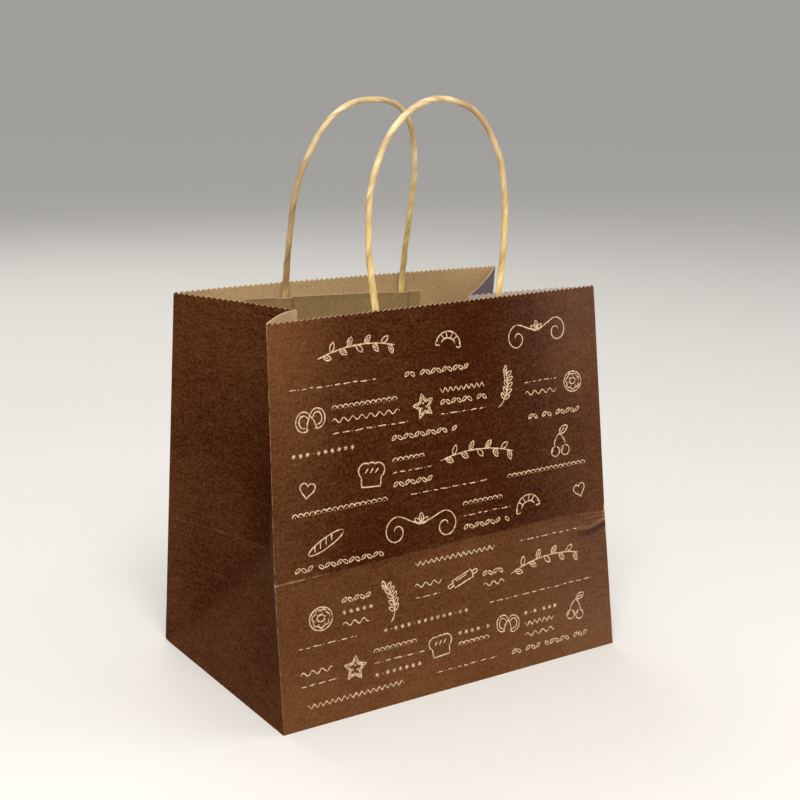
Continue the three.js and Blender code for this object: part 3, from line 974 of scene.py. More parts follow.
def build_bag(printed, kraft, cut):
    """The bag's shell, and a copy of its outer face alone, which the print is laid on."""
    points, triangles, uvs, fold, rim, grid = build_grids()
    normals = vertex_normals(points, triangles)
    x, y, z = points.T
    outer = points + normals * relief(points, fold)[:, None]
    base = z < 1e-6
    inset = np.minimum(BAG_WIDTH / 2 - np.abs(x), BAG_DEPTH / 2 - np.abs(y))
    outer[:, 2] = np.where(base, BASE_HOLLOW * smooth(inset, 0.5, 5.0), np.maximum(outer[:, 2], 0.0))
    lifted = bell(np.hypot(x + BAG_WIDTH / 2, y - BAG_DEPTH / 2), 9.0)
    outer[:, 2] += CORNER_LIFT * lifted * smooth(30.0 - z, 0, 25)
    inner = behind(outer, triangles, grid, SHEET)
    inner[:, 2] = np.maximum(inner[:, 2], base * (outer[:, 2] + 0.8 * SHEET) + 0.01)
    count = len(points)
    edges = open_edges(triangles)
    rims = [[b, a, a + count, b + count] for a, b in edges]
    faces = triangles.tolist() + (triangles[:, ::-1] + count).tolist() + rims
    slots = [0] * len(triangles) + [1] * len(triangles) + [2] * len(rims)
    uv_of = dict(zip(triangles.ravel().tolist(), uvs.reshape(-1, 2).tolist()))
    rim_uvs = np.array([uv_of[corner] for a, b in edges for corner in (b, a, a, b)])
    corner_uvs = np.concatenate([uvs.reshape(-1, 2), uvs[:, ::-1].reshape(-1, 2), rim_uvs])
    outside = sheen_painted_outside(points, normals)
    attributes = {
        "painted_light": np.concatenate([outside, light_painted_inside(points, normals)]),
        "fold_mm": np.tile(np.minimum(fold, 0.15 + 0.55 * crumple_distance(points)), 2),
        "rim_mm": np.tile(rim, 2),
        "wear_and_highlight": np.tile(wear_and_highlight_share(points), 2),
        "thinness_and_light": np.tile(print_thinness_and_light(points, normals), 2),
    }
    both = np.concatenate([outer, inner])
    shell = make_mesh("bag_paper", both, faces, slots, [printed, kraft, cut], corner_uvs, attributes)
    no_slots = [0] * len(triangles)
    sheet = make_mesh("outer_face", outer, triangles, no_slots, [printed], uvs.reshape(-1, 2))
    return shell, sheet


# ---------------------------------------------------------------- handles

class Panel:
    """Places on a wall that carries a handle, from the middle of its rim."""

    def __init__(self, wall):
        self.wall = wall
        ends = wall.at(np.array([0.0, 1.0]), wall.paper(np.array([0.0, 1.0])))
        self.length = np.linalg.norm(ends[1] - ends[0])
        self.forward = 1 if ends[1][0] > ends[0][0] else -1

    def surface(self, along, below):
        across = 0.5 + self.forward * np.asarray(along, float) / self.length
        return self.wall.at(across, self.wall.paper(across) - below)

    def normal(self, along, below):
        step = 0.5
        sideways = self.surface(along + step, below) - self.surface(along - step, below)
        upwards = self.surface(along, below - step) - self.surface(along, below + step)
        cross = np.cross(sideways, upwards) * self.forward
        return cross / np.linalg.norm(cross, axis=-1, keepdims=True)

    def place(self, along, below, depth):
        inwards = self.normal(along, below) * np.asarray(depth, float)[..., None]
        return self.surface(along, below) - inwards


front_panel = Panel(walls["front"])
back_panel = Panel(walls["back"])


def arch_outline(handle):
    """Half of an arch as half width and height above the rim, from the rim up to the crown."""
    outline = []
    for i in range(OPENING_STEPS):
        share = i / OPENING_STEPS
        half_width = between(handle["half_at_rim"], handle["half_spread"], math.sin(share * math.pi / 2))
        outline.append((half_width, share * handle["spring_height"]))
    rise = handle["height"] - handle["spring_height"]
    power = 2 / handle["squareness"]
    for i in range(CROWN_STEPS + 1):
        angle = i / CROWN_STEPS * math.pi / 2
        half_width = handle["half_spread"] * max(math.cos(angle), 0) ** power
        outline.append((half_width, handle["spring_height"] + rise * math.sin(angle) ** power))
    return outline


def handle_points(handle, panel):
    """The points that a cord runs through, from one foot under the patch to the other."""
    feet = [handle["centre"] - handle["half_at_rim"], handle["centre"] + handle["half_at_rim"]]
    left_foot, right_foot = (panel.place(foot, 0.0, CORD_DEPTH) for foot in feet)
    middle = (left_foot + right_foot) / 2
    sideways = (right_foot - left_foot) / np.linalg.norm(right_foot - left_foot)
    inwards = np.cross(sideways, (0, 0, 1)) * (1 if middle[1] > 0 else -1)
    c, s = direction(handle["lean"])
    upwards = np.array([0, 0, c]) + inwards * s

    def place(half_width, height):
        sway = handle["sway"] * math.sin(math.pi * height / handle["height"])
        return middle + sideways * (half_width + sway) + upwards * height

    legs = [[panel.place(foot, share * LEG_DEPTH, CORD_DEPTH) for share in LEG_PATH] for foot in feet]
    outline = arch_outline(handle)
    rising = [place(-half_width, height) for half_width, height in outline]
    falling = [place(half_width, height) for half_width, height in outline[:-1]]
    return np.array(legs[0] + rising + falling[::-1] + legs[1][::-1])


def smooth_path(points, step):
    """A centripetal curve through the points, as points that lie a step apart."""
    through = np.concatenate([
        [2 * points[0] - points[1]], points, [2 * points[-1] - points[-2]],
    ])
    t = np.linspace(0, 1, 24, endpoint=False)[:, None]
    pieces = []
    for p0, p1, p2, p3 in zip(through, through[1:], through[2:], through[3:]):
        before, own, after = (
            math.sqrt(np.linalg.norm(b - a)) for a, b in ((p0, p1), (p1, p2), (p2, p3)))
        start = ((p1 - p0) / before - (p2 - p0) / (before + own) + (p2 - p1) / own) * own
        end = ((p2 - p1) / own - (p3 - p1) / (own + after) + (p3 - p2) / after) * own
        cubic = (2 * t ** 3 - 3 * t ** 2 + 1) * p1 + (t ** 3 - 2 * t ** 2 + t) * start
        pieces.append(cubic + (3 * t ** 2 - 2 * t ** 3) * p2 + (t ** 3 - t ** 2) * end)
    fine = np.concatenate(pieces + [points[-1:]])
    length = np.concatenate([[0], np.cumsum(np.linalg.norm(np.diff(fine, axis=0), axis=1))])
    at = np.linspace(0, length[-1], round(length[-1] / step) + 1)
    return np.stack([np.interp(at, length, fine[:, k]) for k in range(3)], -1)


CORD_SIDES = 28
CORD_STEP = 0.7
CORD_LAY = 34.0  # length of one whole turn of the twist
CORD_WANDER = 1.6  # the reach of the noise that bends the cord's middle
PATH_STEP = 1.2
# Shares of the cord's thickness: its plain bulk, and how much each mark adds or takes.
CORD_BULK = 0.955
CORD_SEAM = 0.16
CORD_WRINKLE = 0.16
CORD_SWELL = 0.20
# The fainter second seam: how far round from the first, as a share of a turn, and how strong.
SECOND_SEAM = {"around": 0.43, "strength": 0.55}


def store(tree, geometry, name, value, data_type):
    """Geometry whose points carry a named value for the material."""
    inputs = {"Geometry": geometry, "Name": name, "Value": value}
    settings = {"data_type": data_type, "domain": "POINT"}
    return put(tree, "GeometryNodeStoreNamedAttribute", inputs, **settings)[0]


def capture(tree, geometry, values):
    """A node that holds values of the geometry's points, for use after the geometry changes."""
    held = put(tree, "GeometryNodeCaptureAttribute", {"Geometry": geometry}, domain="POINT")
    for name, value in values.items():
        held.node.capture_items.new("VECTOR" if value.socket.type == "VECTOR" else "FLOAT", name)
    feed(held.node, values)
    return held


def end_tree(tree, geometry, material, result):
    """The end of a tree: a real mesh in its material."""
    realized = put(tree, "GeometryNodeRealizeInstances", {"Geometry": geometry})[0]
    inputs = {"Geometry": realized, "Material": material}
    feed(result, {"Geometry": put(tree, "GeometryNodeSetMaterial", inputs)[0]})


def make_cord_tree():
    """A twisted paper cord along a curve: round above, pressed flat near the rim, with its seam."""
    tree, given, result = new_group("twisted_cord", "GeometryNodeTree", {
        "Geometry": "Geometry", "Width": 0.004, "Thickness": 0.004, "Flat Width": 0.0054,
        "Flat Thickness": 0.0024, "Rim Height": 0.24, "Round Above": 0.028, "Facing": "Vector",
        "Lay": 0.034, "Seam": 0.1, "Seed": 0.0, "Material": "Material",
    }, {"Geometry": "Geometry"})
    full_turn = 2 * math.pi
    inputs = {"Curve": given["Geometry"], "Length": CORD_STEP * MM}
    path = put(tree, "GeometryNodeResampleCurve", inputs, mode="LENGTH")[0]
    path = capture(tree, path, {
        "Centre": put(tree, "GeometryNodeInputPosition")[0],
        "Tangent": put(tree, "GeometryNodeInputTangent")[0],
        "Length": put(tree, "GeometryNodeSplineParameter")["Length"],
    })
    inputs = {"Resolution": CORD_SIDES, "Radius": 0.001}
    ring = put(tree, "GeometryNodeCurvePrimitiveCircle", inputs, mode="RADIUS")[0]
    index = put(tree, "GeometryNodeInputIndex")[0]
    ring = capture(tree, ring, {"Angle": index * (full_turn / CORD_SIDES)})
    tube = put(tree, "GeometryNodeCurveToMesh", {
        "Curve": path["Geometry"], "Profile Curve": ring["Geometry"], "Fill Caps": True,
    })[0]
    centre, tangent, length, angle = path["Centre"], path["Tangent"], path["Length"], ring["Angle"]
    facing = given["Facing"].math("NORMALIZE")
    lean = put(tree, "ShaderNodeVectorMath", {0: facing, 1: tangent}, operation="DOT_PRODUCT")
    thin = (facing - tangent.scaled(lean["Value"])).math("NORMALIZE")
    wide = thin.math("CROSS_PRODUCT", tangent)
    above_rim = centre.split()["Z"] - given["Rim Height"]
    roundness = (above_rim / given["Round Above"]).ramp(0.0, 1.0)

    def from_flat(flat, full):
        return (full - flat).math("MULTIPLY_ADD", roundness, flat)

    width = from_flat(given["Flat Width"], given["Width"])
    thickness = from_flat(given["Flat Thickness"], given["Thickness"])
    turns = length / given["Lay"]
    share = (angle / full_turn - turns).math("FRACT")
    twist_angle = angle - turns * full_turn
    radius = CORD["width"] / 2 * MM
    along = length + given["Seed"]
    twist = put(tree, "ShaderNodeCombineXYZ", {
        "X": twist_angle.math("COSINE") * radius,
        "Y": twist_angle.math("SINE") * radius,
        "Z": along,
    })[0]
    # Two laps of the rolled paper end in steps on opposite sides, one of them faint.
    second_step = (share + SECOND_SEAM["around"]).math("FRACT") - 0.5
    steps = second_step.math("MULTIPLY_ADD", SECOND_SEAM["strength"], share - 0.5)
    wrinkle = grain(twist * (1.0, 1.0, 0.16), 620.0, 3.0) - 0.5
    swell = grain(twist * (0.2, 0.2, 1.0), 75.0, 1.0) - 0.5
    bulk = steps.math("MULTIPLY_ADD", given["Seam"], CORD_BULK)
    bulk = wrinkle.math("MULTIPLY_ADD", CORD_WRINKLE, bulk)
    bulk = swell.math("MULTIPLY_ADD", CORD_SWELL, bulk)
    wander = grain(put(tree, "ShaderNodeCombineXYZ", {"Z": along})[0], 38.0, 1.0, output="Color")
    wander = (wander - (0.5, 0.5, 0.5)).scaled(roundness * (CORD_WANDER * MM))
    spot = centre + wander
    spot = spot + wide.scaled(angle.math("COSINE") * (width * 0.5 * bulk))
    spot = spot + thin.scaled(angle.math("SINE") * (thickness * 0.5 * bulk))
    shaped = put(tree, "GeometryNodeSetPosition", {"Geometry": tube, "Position": spot})[0]
    shaped = store(tree, shaped, "twist", twist, "FLOAT_VECTOR")
    shaped = store(tree, shaped, "seam", share.math("MINIMUM", 1.0 - share), "FLOAT")
    inputs = {"Geometry": shaped, "Shade Smooth": True}
    end_tree(tree, put(tree, "GeometryNodeSetShadeSmooth", inputs)[0], given["Material"], result)
    return tree


def grown(name, source, tree, values):
    """A plain mesh grown by a node tree from a source object, which is then removed."""
    modifier = source.modifiers.new("grow", "NODES")
    modifier.node_group = tree
    sockets = {item.name: item.identifier for item in tree.interface.items_tree if item.in_out == "INPUT"}
    for key, value in values.items():
        modifier[sockets[key]] = value
    bpy.context.view_layer.update()
    graph = bpy.context.evaluated_depsgraph_get()
    mesh = bpy.data.meshes.new_from_object(source.evaluated_get(graph), depsgraph=graph)
    mesh.name = name
    source.modifiers.clear()
    bpy.data.objects.remove(source)
    return add_object(name, mesh)


def curve_source(name, lines, radius=0.0):
    """A curve object of lines, each with a brush radius, in metres."""
    curve = bpy.data.curves.new(name, "CURVE")
    curve.dimensions = "3D"
    radii = np.broadcast_to(radius, len(lines))
    for line_points, line_radius in zip(lines, radii):
        spline = curve.splines.new("POLY")
        spline.points.add(len(line_points) - 1)
        flat = np.concatenate([np.asarray(line_points) * MM, np.ones((len(line_points), 1))], 1)
        spline.points.foreach_set("co", flat.astype(np.float32).ravel())
        spline.points.foreach_set("radius", np.full(len(line_points), line_radius, np.float32))
    return add_object(name, curve)


def build_handle(name, handle, panel, tree, material, seed):
    path = smooth_path(handle_points(handle, panel), PATH_STEP)
    return grown(name, curve_source(name + "_line", [path]), tree, {
        "Width": CORD["width"] * MM,
        "Thickness": CORD["thickness"] * MM,
        "Flat Width": CORD["flat_width"] * MM,
        "Flat Thickness": CORD["flat_thickness"] * MM,
        "Rim Height": float(panel.surface(0.0, 0.0)[2]) * MM,
        "Round Above": CORD["round_above"] * MM,
        "Facing": tuple(float(value) for value in panel.normal(handle["centre"], 0.0)),
        "Lay": CORD_LAY * MM,
        "Seam": CORD_SEAM,
        "Seed": seed,
        "Material": material,
    })


# ---------------------------------------------------------------- patches and the laps of the base

def ridge(along, below, handle):
    """How far a patch stands off the wall over the flat ends of a cord."""
    height = CORD["flat_thickness"] + 0.6
    off_centre = np.abs(np.abs(along - handle["centre"]) - handle["half_at_rim"])
    beside = 1 - smooth(off_centre, CHANNEL["half_width"], CHANNEL["half_width"] + CHANNEL["shoulder"])
    beyond = 1 - smooth(below, LEG_DEPTH, LEG_DEPTH + CHANNEL["end_length"])
    return height * beside * beyond


def closed_slab(name, outer, inner, uvs, material, attributes):
    """A closed thin slab between two grids of points, outer first."""
    rows, columns = outer.shape[:2]
    count = rows * columns
    quads = quads_of((rows, columns))
    index = np.arange(count).reshape(rows, columns)
    border = np.concatenate([index[0, :-1], index[:-1, -1], index[-1, :0:-1], index[:0:-1, 0]])
    following = np.roll(border, -1)
    sides = np.stack([following, border, border + count, following + count], -1)
    faces = np.concatenate([quads, quads[:, ::-1] + count, sides])
    points = np.concatenate([outer.reshape(-1, 3), inner.reshape(-1, 3)])
    corner_uvs = np.tile(uvs.reshape(-1, 2), (2, 1))[faces].reshape(-1, 2)
    doubled = {key: np.tile(np.asarray(value).reshape(-1), 2) for key, value in attributes.items()}
    return make_mesh(name, points, faces, [0] * len(faces), [material], corner_uvs, doubled, 40.0)


PATCH_COLUMNS = 181
PATCH_ROWS = 44
PATCH_GLUE = 0.28  # between a patch and the wall's inner face
PATCH_LUMPS = (0.14, 9.0)  # height and size
PATCH_CURL = (0.25, 4.0)  # how far its edges stand up, and how wide that rise is
PATCH_PLACE = (400, 600)  # in the UV map


def build_patch(name, patch, handle, panel, material, seed):
    """A glued kraft strip that holds both legs of a handle. Its edges curl off the wall a little."""
    along = np.linspace(-0.5, 0.5, PATCH_COLUMNS)[None, :] * patch["length"]
    rows = np.linspace(1.2, PATCH_HEIGHT - 1.2, PATCH_ROWS)
    down = np.concatenate([[0, 0.5], rows, [PATCH_HEIGHT - 0.5, PATCH_HEIGHT]])[:, None]
    c, s = direction(patch["tilt"])
    on_panel = patch["centre"] + along * c - down * s
    below = patch["below"] + along * s + down * c
    flat = np.stack([along + 0 * down, down + 0 * along], -1)
    height, size = PATCH_LUMPS
    spots = np.insert(flat.reshape(-1, 2), 2, seed * size, axis=1)
    edge = np.minimum(np.minimum(down, PATCH_HEIGHT - down), patch["length"] / 2 - np.abs(along))
    stand = ridge(on_panel, below, handle)
    stand += height * (1 + waves(spots, size, seed).reshape(stand.shape))
    stand += PATCH_CURL[0] * (1 - smooth(edge, 0, PATCH_CURL[1]))
    depth = SHEET + PATCH_GLUE + stand
    faces = [panel.place(on_panel, below, depth + PATCH_SHEET), panel.place(on_panel, below, depth)]
    if panel.forward < 0:
        faces.reverse()
    return closed_slab(name, *faces, flat + PATCH_PLACE, material, {"rim_mm": np.minimum(edge, FAR)})


LAPS = {"under": (-85.0, 22.0, 0.185), "over": (85.0, -24.0, 0.03)}  # from y, to y, lowest z
LAP_SHEET = 0.13
LAP_SLANT = 60.0  # how far a lap's corners are cut back at its free edge
LAP_INSET = 1.0
LAP_ROWS = 40
LAP_COLUMNS = 120
LAP_THINNESS = 0.3
LAP_PLACE = (130, 700)  # in the UV map


def build_lap(name, start, stop, low, material):
    """One glued flap of the block bottom, on the underside, narrowing towards its free edge."""
    share = np.linspace(0, 1, LAP_ROWS)[:, None]
    half = BAG_WIDTH / 2 - LAP_INSET - LAP_SLANT * smooth(share, 0.72, 1.0)
    x = half * np.linspace(-1, 1, LAP_COLUMNS)[None, :]
    y = start - math.copysign(LAP_INSET, start) + (stop - start) * share + 0 * x
    flat = np.stack([x, y, np.full_like(x, low)], -1)
    if start > stop:
        flat = flat[::-1]
    top = flat + (0, 0, LAP_SHEET)
    uvs = np.stack([x, y], -1) + LAP_PLACE
    values = {"fold_mm": FAR, "rim_mm": FAR, "wear_and_highlight": 0.0, "thinness_and_light": LAP_THINNESS}
    attributes = {key: np.full(x.shape, value) for key, value in values.items()}
    return closed_slab(name, top, flat, uvs, material, attributes)


# ---------------------------------------------------------------- the print: drawings

def turned(points, degrees, place=(0, 0), size=1.0):
    """Points turned about the origin, sized, and then moved to a place."""
    c, s = direction(degrees)
    return points @ np.array([[c, s], [-s, c]]) * size + place


def rounded(rx, ry, degrees):
    """Points at the given angles round the origin."""
    angle = np.radians(degrees)
    return np.stack([rx * np.cos(angle), ry * np.sin(angle)], -1)


def arc(x, y, rx, ry, start, end, turn=0.0):
    """A stretch of an ellipse, from one angle to another in degrees, turned about its middle."""
    steps = max(6, round(abs(end - start) / 14))
    return turned(rounded(rx, ry, np.linspace(start, end, steps + 1)), turn, (x, y))


def dot(x, y=0.0, size=0.4):
    return arc(x, y, size, size, 0, 330)


def line(*points):
    return np.array(points, float)


def pair(stroke):
    """A stroke and its mirror image on the other side."""
    return [stroke, stroke * (-1, 1)]


def leaf(x, y, length, width, turn, vein=True):
    """A pointed leaf or seed that starts at x, y and grows in the direction of turn."""
    t = np.linspace(0, 1, 11)
    edge = width / 2 * np.sin(np.pi * t) ** 0.8
    upper = np.stack([length * t, edge], -1)
    strokes = [np.concatenate([upper, upper[-2::-1] * (1, -1)])]
    if vein:
        strokes.append(line((0.15 * length, 0), (0.7 * length, 0)))
    return [turned(stroke, turn, (x, y)) for stroke in strokes]


def croissant():
    strokes = [arc(0, -5, 11, 11, 12, 168), arc(0, -3.2, 6.2, 4.6, 14, 166)]
    strokes += pair(arc(-8.4, -2.6, 2.6, 1.6, 95, 290, 20))
    for angle in (48, 74, 106, 132):
        c, s = direction(angle)
        strokes.append(line((11 * c, 11 * s - 5), (7.74 * c, 7.6 * s - 4), (6.0 * c, 4.6 * s - 3.2)))
    return strokes


def wheat():
    strokes = [arc(-6, 0, 6.5, 12, -80, 62)]
    for step in range(5):
        c, s = direction(-30 + 20 * step)
        for turn in (132, 42):
            strokes += leaf(6.5 * c - 6, 12 * s, 5.0, 2.2, turn, False)
    return strokes + leaf(-3.0, 10.4, 5.2, 2.2, 98, False)


def pretzel():
    strokes = pair(arc(-4.6, 1.2, 5.2, 5.8, 36, 300))
    strokes += pair(line((-0.4, 4.6), (2.2, 0.4), (3.6, -4.8)))
    strokes += pair(arc(-4.6, 1.2, 3.1, 3.6, 20, 280))
    return strokes + pair(line((-6.8, 5.2), (-6.2, 5.7)))


def baguette():
    cuts = [arc(x, 0, 2.2, 3.6, 128, 214, -24) for x in (-6.1, -2.0, 2.1, 6.2)]
    return [arc(0, 0, 13, 3.1, 0, 350)] + cuts


def rolling_pin():
    roll = line((-7, -2.4), (7, -2.4), (7.4, 0), (7, 2.4), (-7, 2.4), (-7.4, 0), (-7, -2.4))
    grips = pair(line((-7.4, 0.8), (-10.2, 1.1), (-11.4, 0), (-10.2, -1.1), (-7.4, -0.8)))
    return [roll] + grips + [line((-5, 1.1), (3.4, 1.1))]


def doughnut():
    strokes = [arc(0, 0, 8, 7.2, 5, 362), arc(0, 0.4, 2.7, 2.2, 0, 355)]
    around = np.linspace(0, 352, 60)
    icing = 5.9 + 0.55 * np.sin(7 * np.radians(around))
    strokes.append(rounded(icing, 0.92 * icing, around) + (0, 0.2))
    for angle in (20, 75, 130, 190, 245, 310):
        c, s = direction(angle)
        strokes.append(line((4 * c - 0.5 * s, 3.8 * s + 0.5 * c), (4 * c + 0.5 * s, 3.8 * s - 0.5 * c)))
    return strokes


def cherries():
    strokes = [arc(-4, -4.6, 3.4, 3.2, 80, 425), arc(4.2, -5.4, 3.4, 3.2, 100, 445)]
    strokes += [arc(5.6, -1.6, 10, 8.6, 118, 180), arc(-3.6, -1.6, 8.4, 8.6, 62, 0)]
    strokes += [arc(-4.6, -4.4, 1.8, 1.7, 110, 190), arc(3.6, -5.2, 1.8, 1.7, 110, 190)]
    return strokes + leaf(0.6, 6.2, 8.5, 4.2, 24)


def star_biscuit():
    corners = np.arange(11)
    size = np.where(corners % 2 == 0, 8.6, 4.3)
    strokes = [rounded(size, size, 90 + 36 * corners)]
    strokes.append(strokes[0] * 0.72)
    for c, s in map(direction, (90, 210, 330)):
        strokes.append(arc(2.0 * c, 2.0 * s, 0.55, 0.55, 0, 340))
    return strokes


def loaf():
    strokes = pair(arc(-4.6, 2.6, 4.6, 4.4, 60, 235)) + [arc(0, 4.8, 3.2, 2.4, 150, 30)]
    strokes.append(line((-7.0, -0.8), (-6.6, -7), (6.6, -7), (7.0, -0.8)))
    return strokes + [line((x - 1.2, 1.0), (x + 1.0, 3.8)) for x in (-3.4, 0.2, 3.8)]


def heart():
    t = np.radians(np.linspace(8, 352, 26))
    x = 16 * np.sin(t) ** 3
    y = 13 * np.cos(t) - 5 * np.cos(2 * t) - 2 * np.cos(3 * t) - np.cos(4 * t)
    return [np.stack([x, y], -1) * 0.42]


def sprig():
    """A long leafy branch."""
    strokes = [arc(0, -34, 60, 36, 118, 62)]
    for step, angle in enumerate(range(114, 62, -6)):
        c, s = direction(angle)
        turn = angle - 90 + (52 if step % 2 else -48)
        strokes += leaf(60 * c, 36 * s - 34, 6.4, 3.0, turn, step % 3 != 1)
    return strokes


def swirl():
    """A loose scroll with two curled ends."""
    t = np.linspace(0, 1, 30)
    size = 7.6 * (1 - 0.80 * t)
    strokes = [rounded(size, size, 90 - side * 430 * t) + (side * 15, -1.4) for side in (-1, 1)]
    t = np.linspace(-1, 1, 24)
    strokes.append(np.stack([15 * t, 6.2 - 4.6 * (1 - t ** 2) ** 2], -1))
    strokes += leaf(0, 1.2, 5.6, 2.6, 90) + leaf(0.2, 1.0, 5.0, 2.2, 38, False)
    return strokes + leaf(-0.2, 1.0, 5.0, 2.2, 142, False)


# ---------------------------------------------------------------- the print: rows of small marks

def wave_row(length, rng):
    x = np.arange(0, length, 0.9)
    return [np.stack([x, 1.4 * np.sin(x * 2 * math.pi / 6.6)], -1)]


def scallop_row(length, rng):
    strokes = []
    for x in np.arange(2.0, length, 4.0):
        strokes += [arc(x, -0.6, 2.0, 2.2, 178, 2), dot(x, -0.5)]
    return strokes


def dash_row(length, rng):
    strokes, x = [], 0.0
    while x < length:
        step = rng.uniform(2.4, 6.2)
        strokes.append(line((x, rng.uniform(-0.3, 0.3)), (x + step, rng.uniform(-0.3, 0.3))))
        x += step + 2.0
        if rng.random() < 0.45:
            strokes.append(dot(x - 0.3))
            x += 1.9
    return strokes


def seed_row(length, rng):
    strokes, x, side = [], 0.0, 1
    while x < length:
        strokes += leaf(x, -1.2 * side, 4.6, 2.0, 38 * side, False)
        side = -side
        x += 7.7 if rng.random() < 0.16 else 4.3
    return strokes


def zigzag_row(length, rng):
    x = np.arange(0, length, 2.1)
    return [np.stack([x, 1.5 * (-1.0) ** np.arange(len(x))], -1)]


def spark_row(length, rng):
    strokes, x = [], 1.4
    while x < length:
        for turn in (90, 30, -30):
            strokes.append(turned(line((-1.5, 0), (1.5, 0)), turn, (x, 0)))
        x += 4.8
        if rng.random() < 0.3:
            strokes.append(dot(x - 0.6, 0, 0.45))
            x += 3.0
    return strokes


# Drawings: which, how far right and up on the flat front, size and turn.
DRAWINGS = (
    (sprig, 62, 226, 1.0, 3), (croissant, 132, 224, 0.92, -10), (swirl, 206, 222, 1.15, 4),
    (pretzel, 28, 186, 1.05, 8), (star_biscuit, 111, 185, 0.95, 12), (wheat, 178, 187, 1.0, -14),
    (doughnut, 236, 186, 0.95, 0), (loaf, 70, 148, 1.05, -5), (sprig, 152, 150, 1.05, -2),
    (cherries, 222, 146, 1.05, 6), (heart, 24, 146, 0.8, -12),
    (baguette, 36, 112, 1.05, 24), (swirl, 106, 110, 1.25, -3), (croissant, 192, 110, 0.95, 12),
    (heart, 238, 112, 0.75, 14), (doughnut, 30, 66, 1.0, 0), (wheat, 82, 66, 1.0, 12),
    (rolling_pin, 136, 70, 1.1, 18), (sprig, 204, 70, 1.05, 4),
    (star_biscuit, 52, 30, 0.95, -6), (loaf, 116, 30, 0.95, 4), (pretzel, 170, 32, 0.95, -10),
    (cherries, 228, 32, 0.95, -4),
)
# Blocks of small marks between them: left end, right end, top row and how many rows.
BLOCKS = (
    (14, 84, 206, 1), (97, 150, 206, 1),
    (43, 97, 192, 3), (124, 164, 193, 3), (194, 222, 190, 2),
    (14, 60, 167, 1), (86, 134, 168, 1), (196, 244, 167, 1), (86, 114, 154, 3),
    (13, 84, 131, 1), (99, 160, 131, 1), (176, 244, 130, 1), (139, 176, 118, 3),
    (14, 74, 98, 1), (100, 168, 86, 1), (184, 236, 86, 1),
    (45, 67, 74, 3), (99, 120, 72, 2), (152, 170, 70, 2),
    (14, 62, 50, 1), (74, 142, 49, 1), (156, 244, 50, 1),
    (14, 39, 34, 2), (66, 103, 37, 3), (130, 156, 35, 2), (184, 214, 37, 3),
    (18, 98, 13, 1), (112, 158, 13, 1), (172, 242, 13, 1),
)
ROW_SPACING = 7.5
DRAWING_INK = 0.46  # half the width of a brush line
ROW_INK = 0.40
INK_SEED = 11


def print_strokes(panel_u):
    """All strokes of one printed side on the flat paper, each with half the width of its line."""
    rng = random.Random(INK_SEED)
    inked = []
    for motif, x, y, size, turn in DRAWINGS:
        inked += [(turned(stroke, turn, (panel_u + x, y), size), DRAWING_INK) for stroke in motif()]
    kinds = [seed_row, wave_row, dash_row, zigzag_row, spark_row, scallop_row]
    for start, end, top, count in BLOCKS:
        rng.shuffle(kinds)
        for number, kind in enumerate(kinds[:count]):
            length = (end - start) * rng.uniform(0.86, 1.0)
            place = (panel_u + start, top - number * ROW_SPACING)
            inked += [(stroke + place, ROW_INK) for stroke in kind(length, rng)]
    strokes, widths = zip(*inked)
    return [np.insert(stroke, 2, 0.0, axis=1) for stroke in strokes], np.array(widths)


def make_ink_tree():
    """Brush lines drawn on the flat paper, laid on the folded paper by its UV map."""
    tree, given, result = new_group("brush_lines", "GeometryNodeTree", {
        "Geometry": "Geometry", "Paper": "Object", "Step": 0.0009, "Wobble": 0.0003,
        "Lift": 0.00004, "Flatness": 0.07, "Material": "Material",
    }, {"Geometry": "Geometry"})
    inputs = {"Curve": given["Geometry"], "Length": given["Step"]}
    drawn = put(tree, "GeometryNodeResampleCurve", inputs, mode="LENGTH")[0]
    position = put(tree, "GeometryNodeInputPosition")[0]
    shake = grain(position, 260.0, 1.0, output="Color") - (0.5, 0.5, 0.5)
    shake = shake.scaled(given["Wobble"]) * (1.0, 1.0, 0.0)
    moved = put(tree, "GeometryNodeSetPosition", {"Geometry": drawn, "Offset": shake})[0]
    pressure = grain(position, 420.0).ramp(0.25, 0.75, 0.62, 1.2)
    ends = put(tree, "GeometryNodeSplineParameter")["Factor"]
    taper = ends.math("MINIMUM", 1.0 - ends).ramp(0.0, 0.06, 0.45, 1.0)
    radius = put(tree, "GeometryNodeInputRadius")[0]
    inputs = {"Curve": moved, "Radius": radius * pressure * taper}
    sized = put(tree, "GeometryNodeSetCurveRadius", inputs)[0]
    level = put(tree, "GeometryNodeSetCurveNormal", {"Curve": sized}, mode="Z_UP")[0]
    inputs = {"Resolution": 6, "Radius": 1.0}
    brush = put(tree, "GeometryNodeCurvePrimitiveCircle", inputs, mode="RADIUS")[0]
    squash = put(tree, "ShaderNodeCombineXYZ", {"X": 1.0, "Y": given["Flatness"], "Z": 1.0})[0]
    flat = put(tree, "GeometryNodeTransform", {"Geometry": brush, "Scale": squash})[0]
    ribbon = put(tree, "GeometryNodeCurveToMesh", {
        "Curve": level, "Profile Curve": flat, "Scale": radius, "Fill Caps": True,
    })[0]
    sheet = put(tree, "GeometryNodeObjectInfo", {"Object": given["Paper"]})["Geometry"]
    attribute = "GeometryNodeInputNamedAttribute"
    uv = put(tree, attribute, {"Name": "paper"}, data_type="FLOAT_VECTOR")[0]

    def sampled(value):
        inputs = {"Mesh": sheet, "Value": value, "Source UV Map": uv, "Sample UV": position}
        return put(tree, "GeometryNodeSampleUVSurface", inputs, data_type="FLOAT_VECTOR")["Value"]

    outward = sampled(put(tree, "GeometryNodeInputNormal")[0])
    spot = sampled(position) + outward.scaled(position.split()["Z"] + given["Lift"])
    laid = put(tree, "GeometryNodeSetPosition", {"Geometry": ribbon, "Position": spot})[0]
    end_tree(tree, laid, given["Material"], result)
    return tree


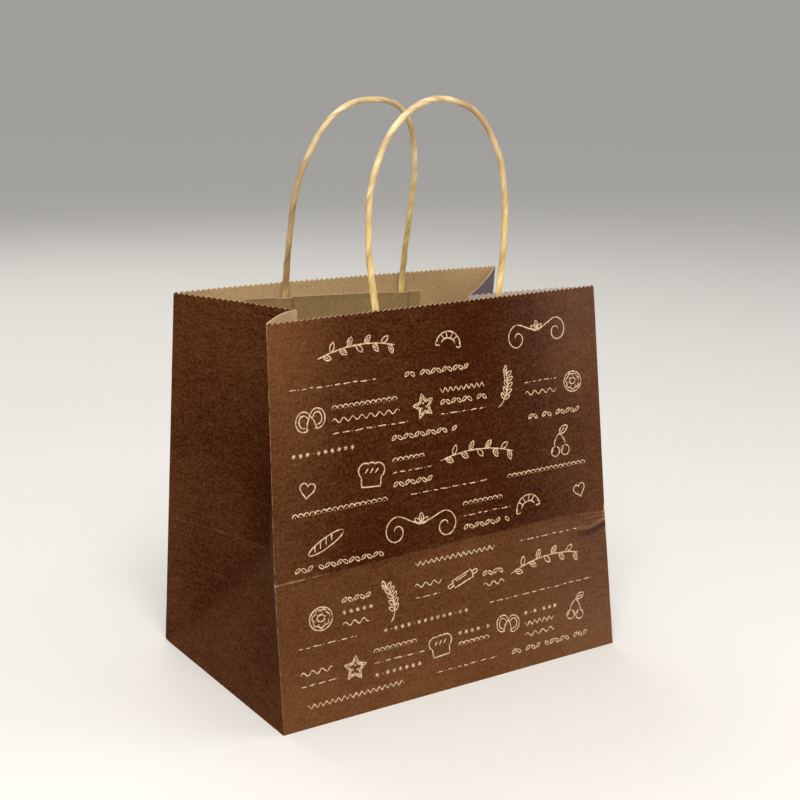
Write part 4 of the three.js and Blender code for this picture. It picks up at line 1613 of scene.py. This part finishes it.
def build_print(name, panel_u, sheet, tree, material):
    strokes, widths = print_strokes(panel_u)
    source = curve_source(name + "_lines", strokes, widths * MM)
    return grown(name, source, tree, {"Paper": sheet, "Material": material})


# ---------------------------------------------------------------- the whole bag

INSIDE_KRAFT = ((0.34, 0.218, 0.10), (0.43, 0.29, 0.145))
CUT_KRAFT = ((0.40, 0.27, 0.16), (0.50, 0.36, 0.23))
PATCH_KRAFT = ((0.235, 0.15, 0.058), (0.30, 0.195, 0.08))
HANDLES = (
    ("front", FRONT_HANDLE, FRONT_PATCH, front_panel, 0.0),
    ("back", BACK_HANDLE, BACK_PATCH, back_panel, 0.7),
)


def finish_piece(piece, slot, *nodes):
    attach(piece, "root")
    if nodes:
        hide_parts(*nodes)


def build_all():
    fibres = make_fibre_group()
    printed = make_printed_material(fibres, make_wear_group())
    kraft = make_kraft_material("kraft_inside", fibres, *INSIDE_KRAFT, rim_glow=0.4)
    cut = make_kraft_material("kraft_cut_edge", fibres, *CUT_KRAFT)
    patch_kraft = make_kraft_material("kraft_patch", fibres, *PATCH_KRAFT, 430.0, rim_glow=0.55)
    cord_paper = make_cord_material()
    ink = make_ink_material()

    shell, sheet = build_bag(printed, kraft, cut)
    finish_piece(shell, "printed_paper", "bag")
    for name, (start, stop, low) in LAPS.items():
        finish_piece(build_lap("base_lap_" + name, start, stop, low, printed), "printed_paper")

    ink_tree = make_ink_tree()
    for name, panel_u in (("print_front", FRONT_U), ("print_back", BACK_U)):
        finish_piece(build_print(name, panel_u, sheet, ink_tree, ink), None)
    bpy.data.objects.remove(sheet)

    cord_tree = make_cord_tree()
    for number, (name, handle, patch, panel, seed) in enumerate(HANDLES, 1):
        cord = build_handle("handle_cord_" + name, handle, panel, cord_tree, cord_paper, seed)
        finish_piece(cord, "twisted_cord", "handle_" + name)
        strip = build_patch("handle_patch_" + name, patch, handle, panel, patch_kraft, number)
        finish_piece(strip, "kraft_patch", "patch_" + name)


add_camera()
add_lights()
add_room()
add_floor()
build_all()
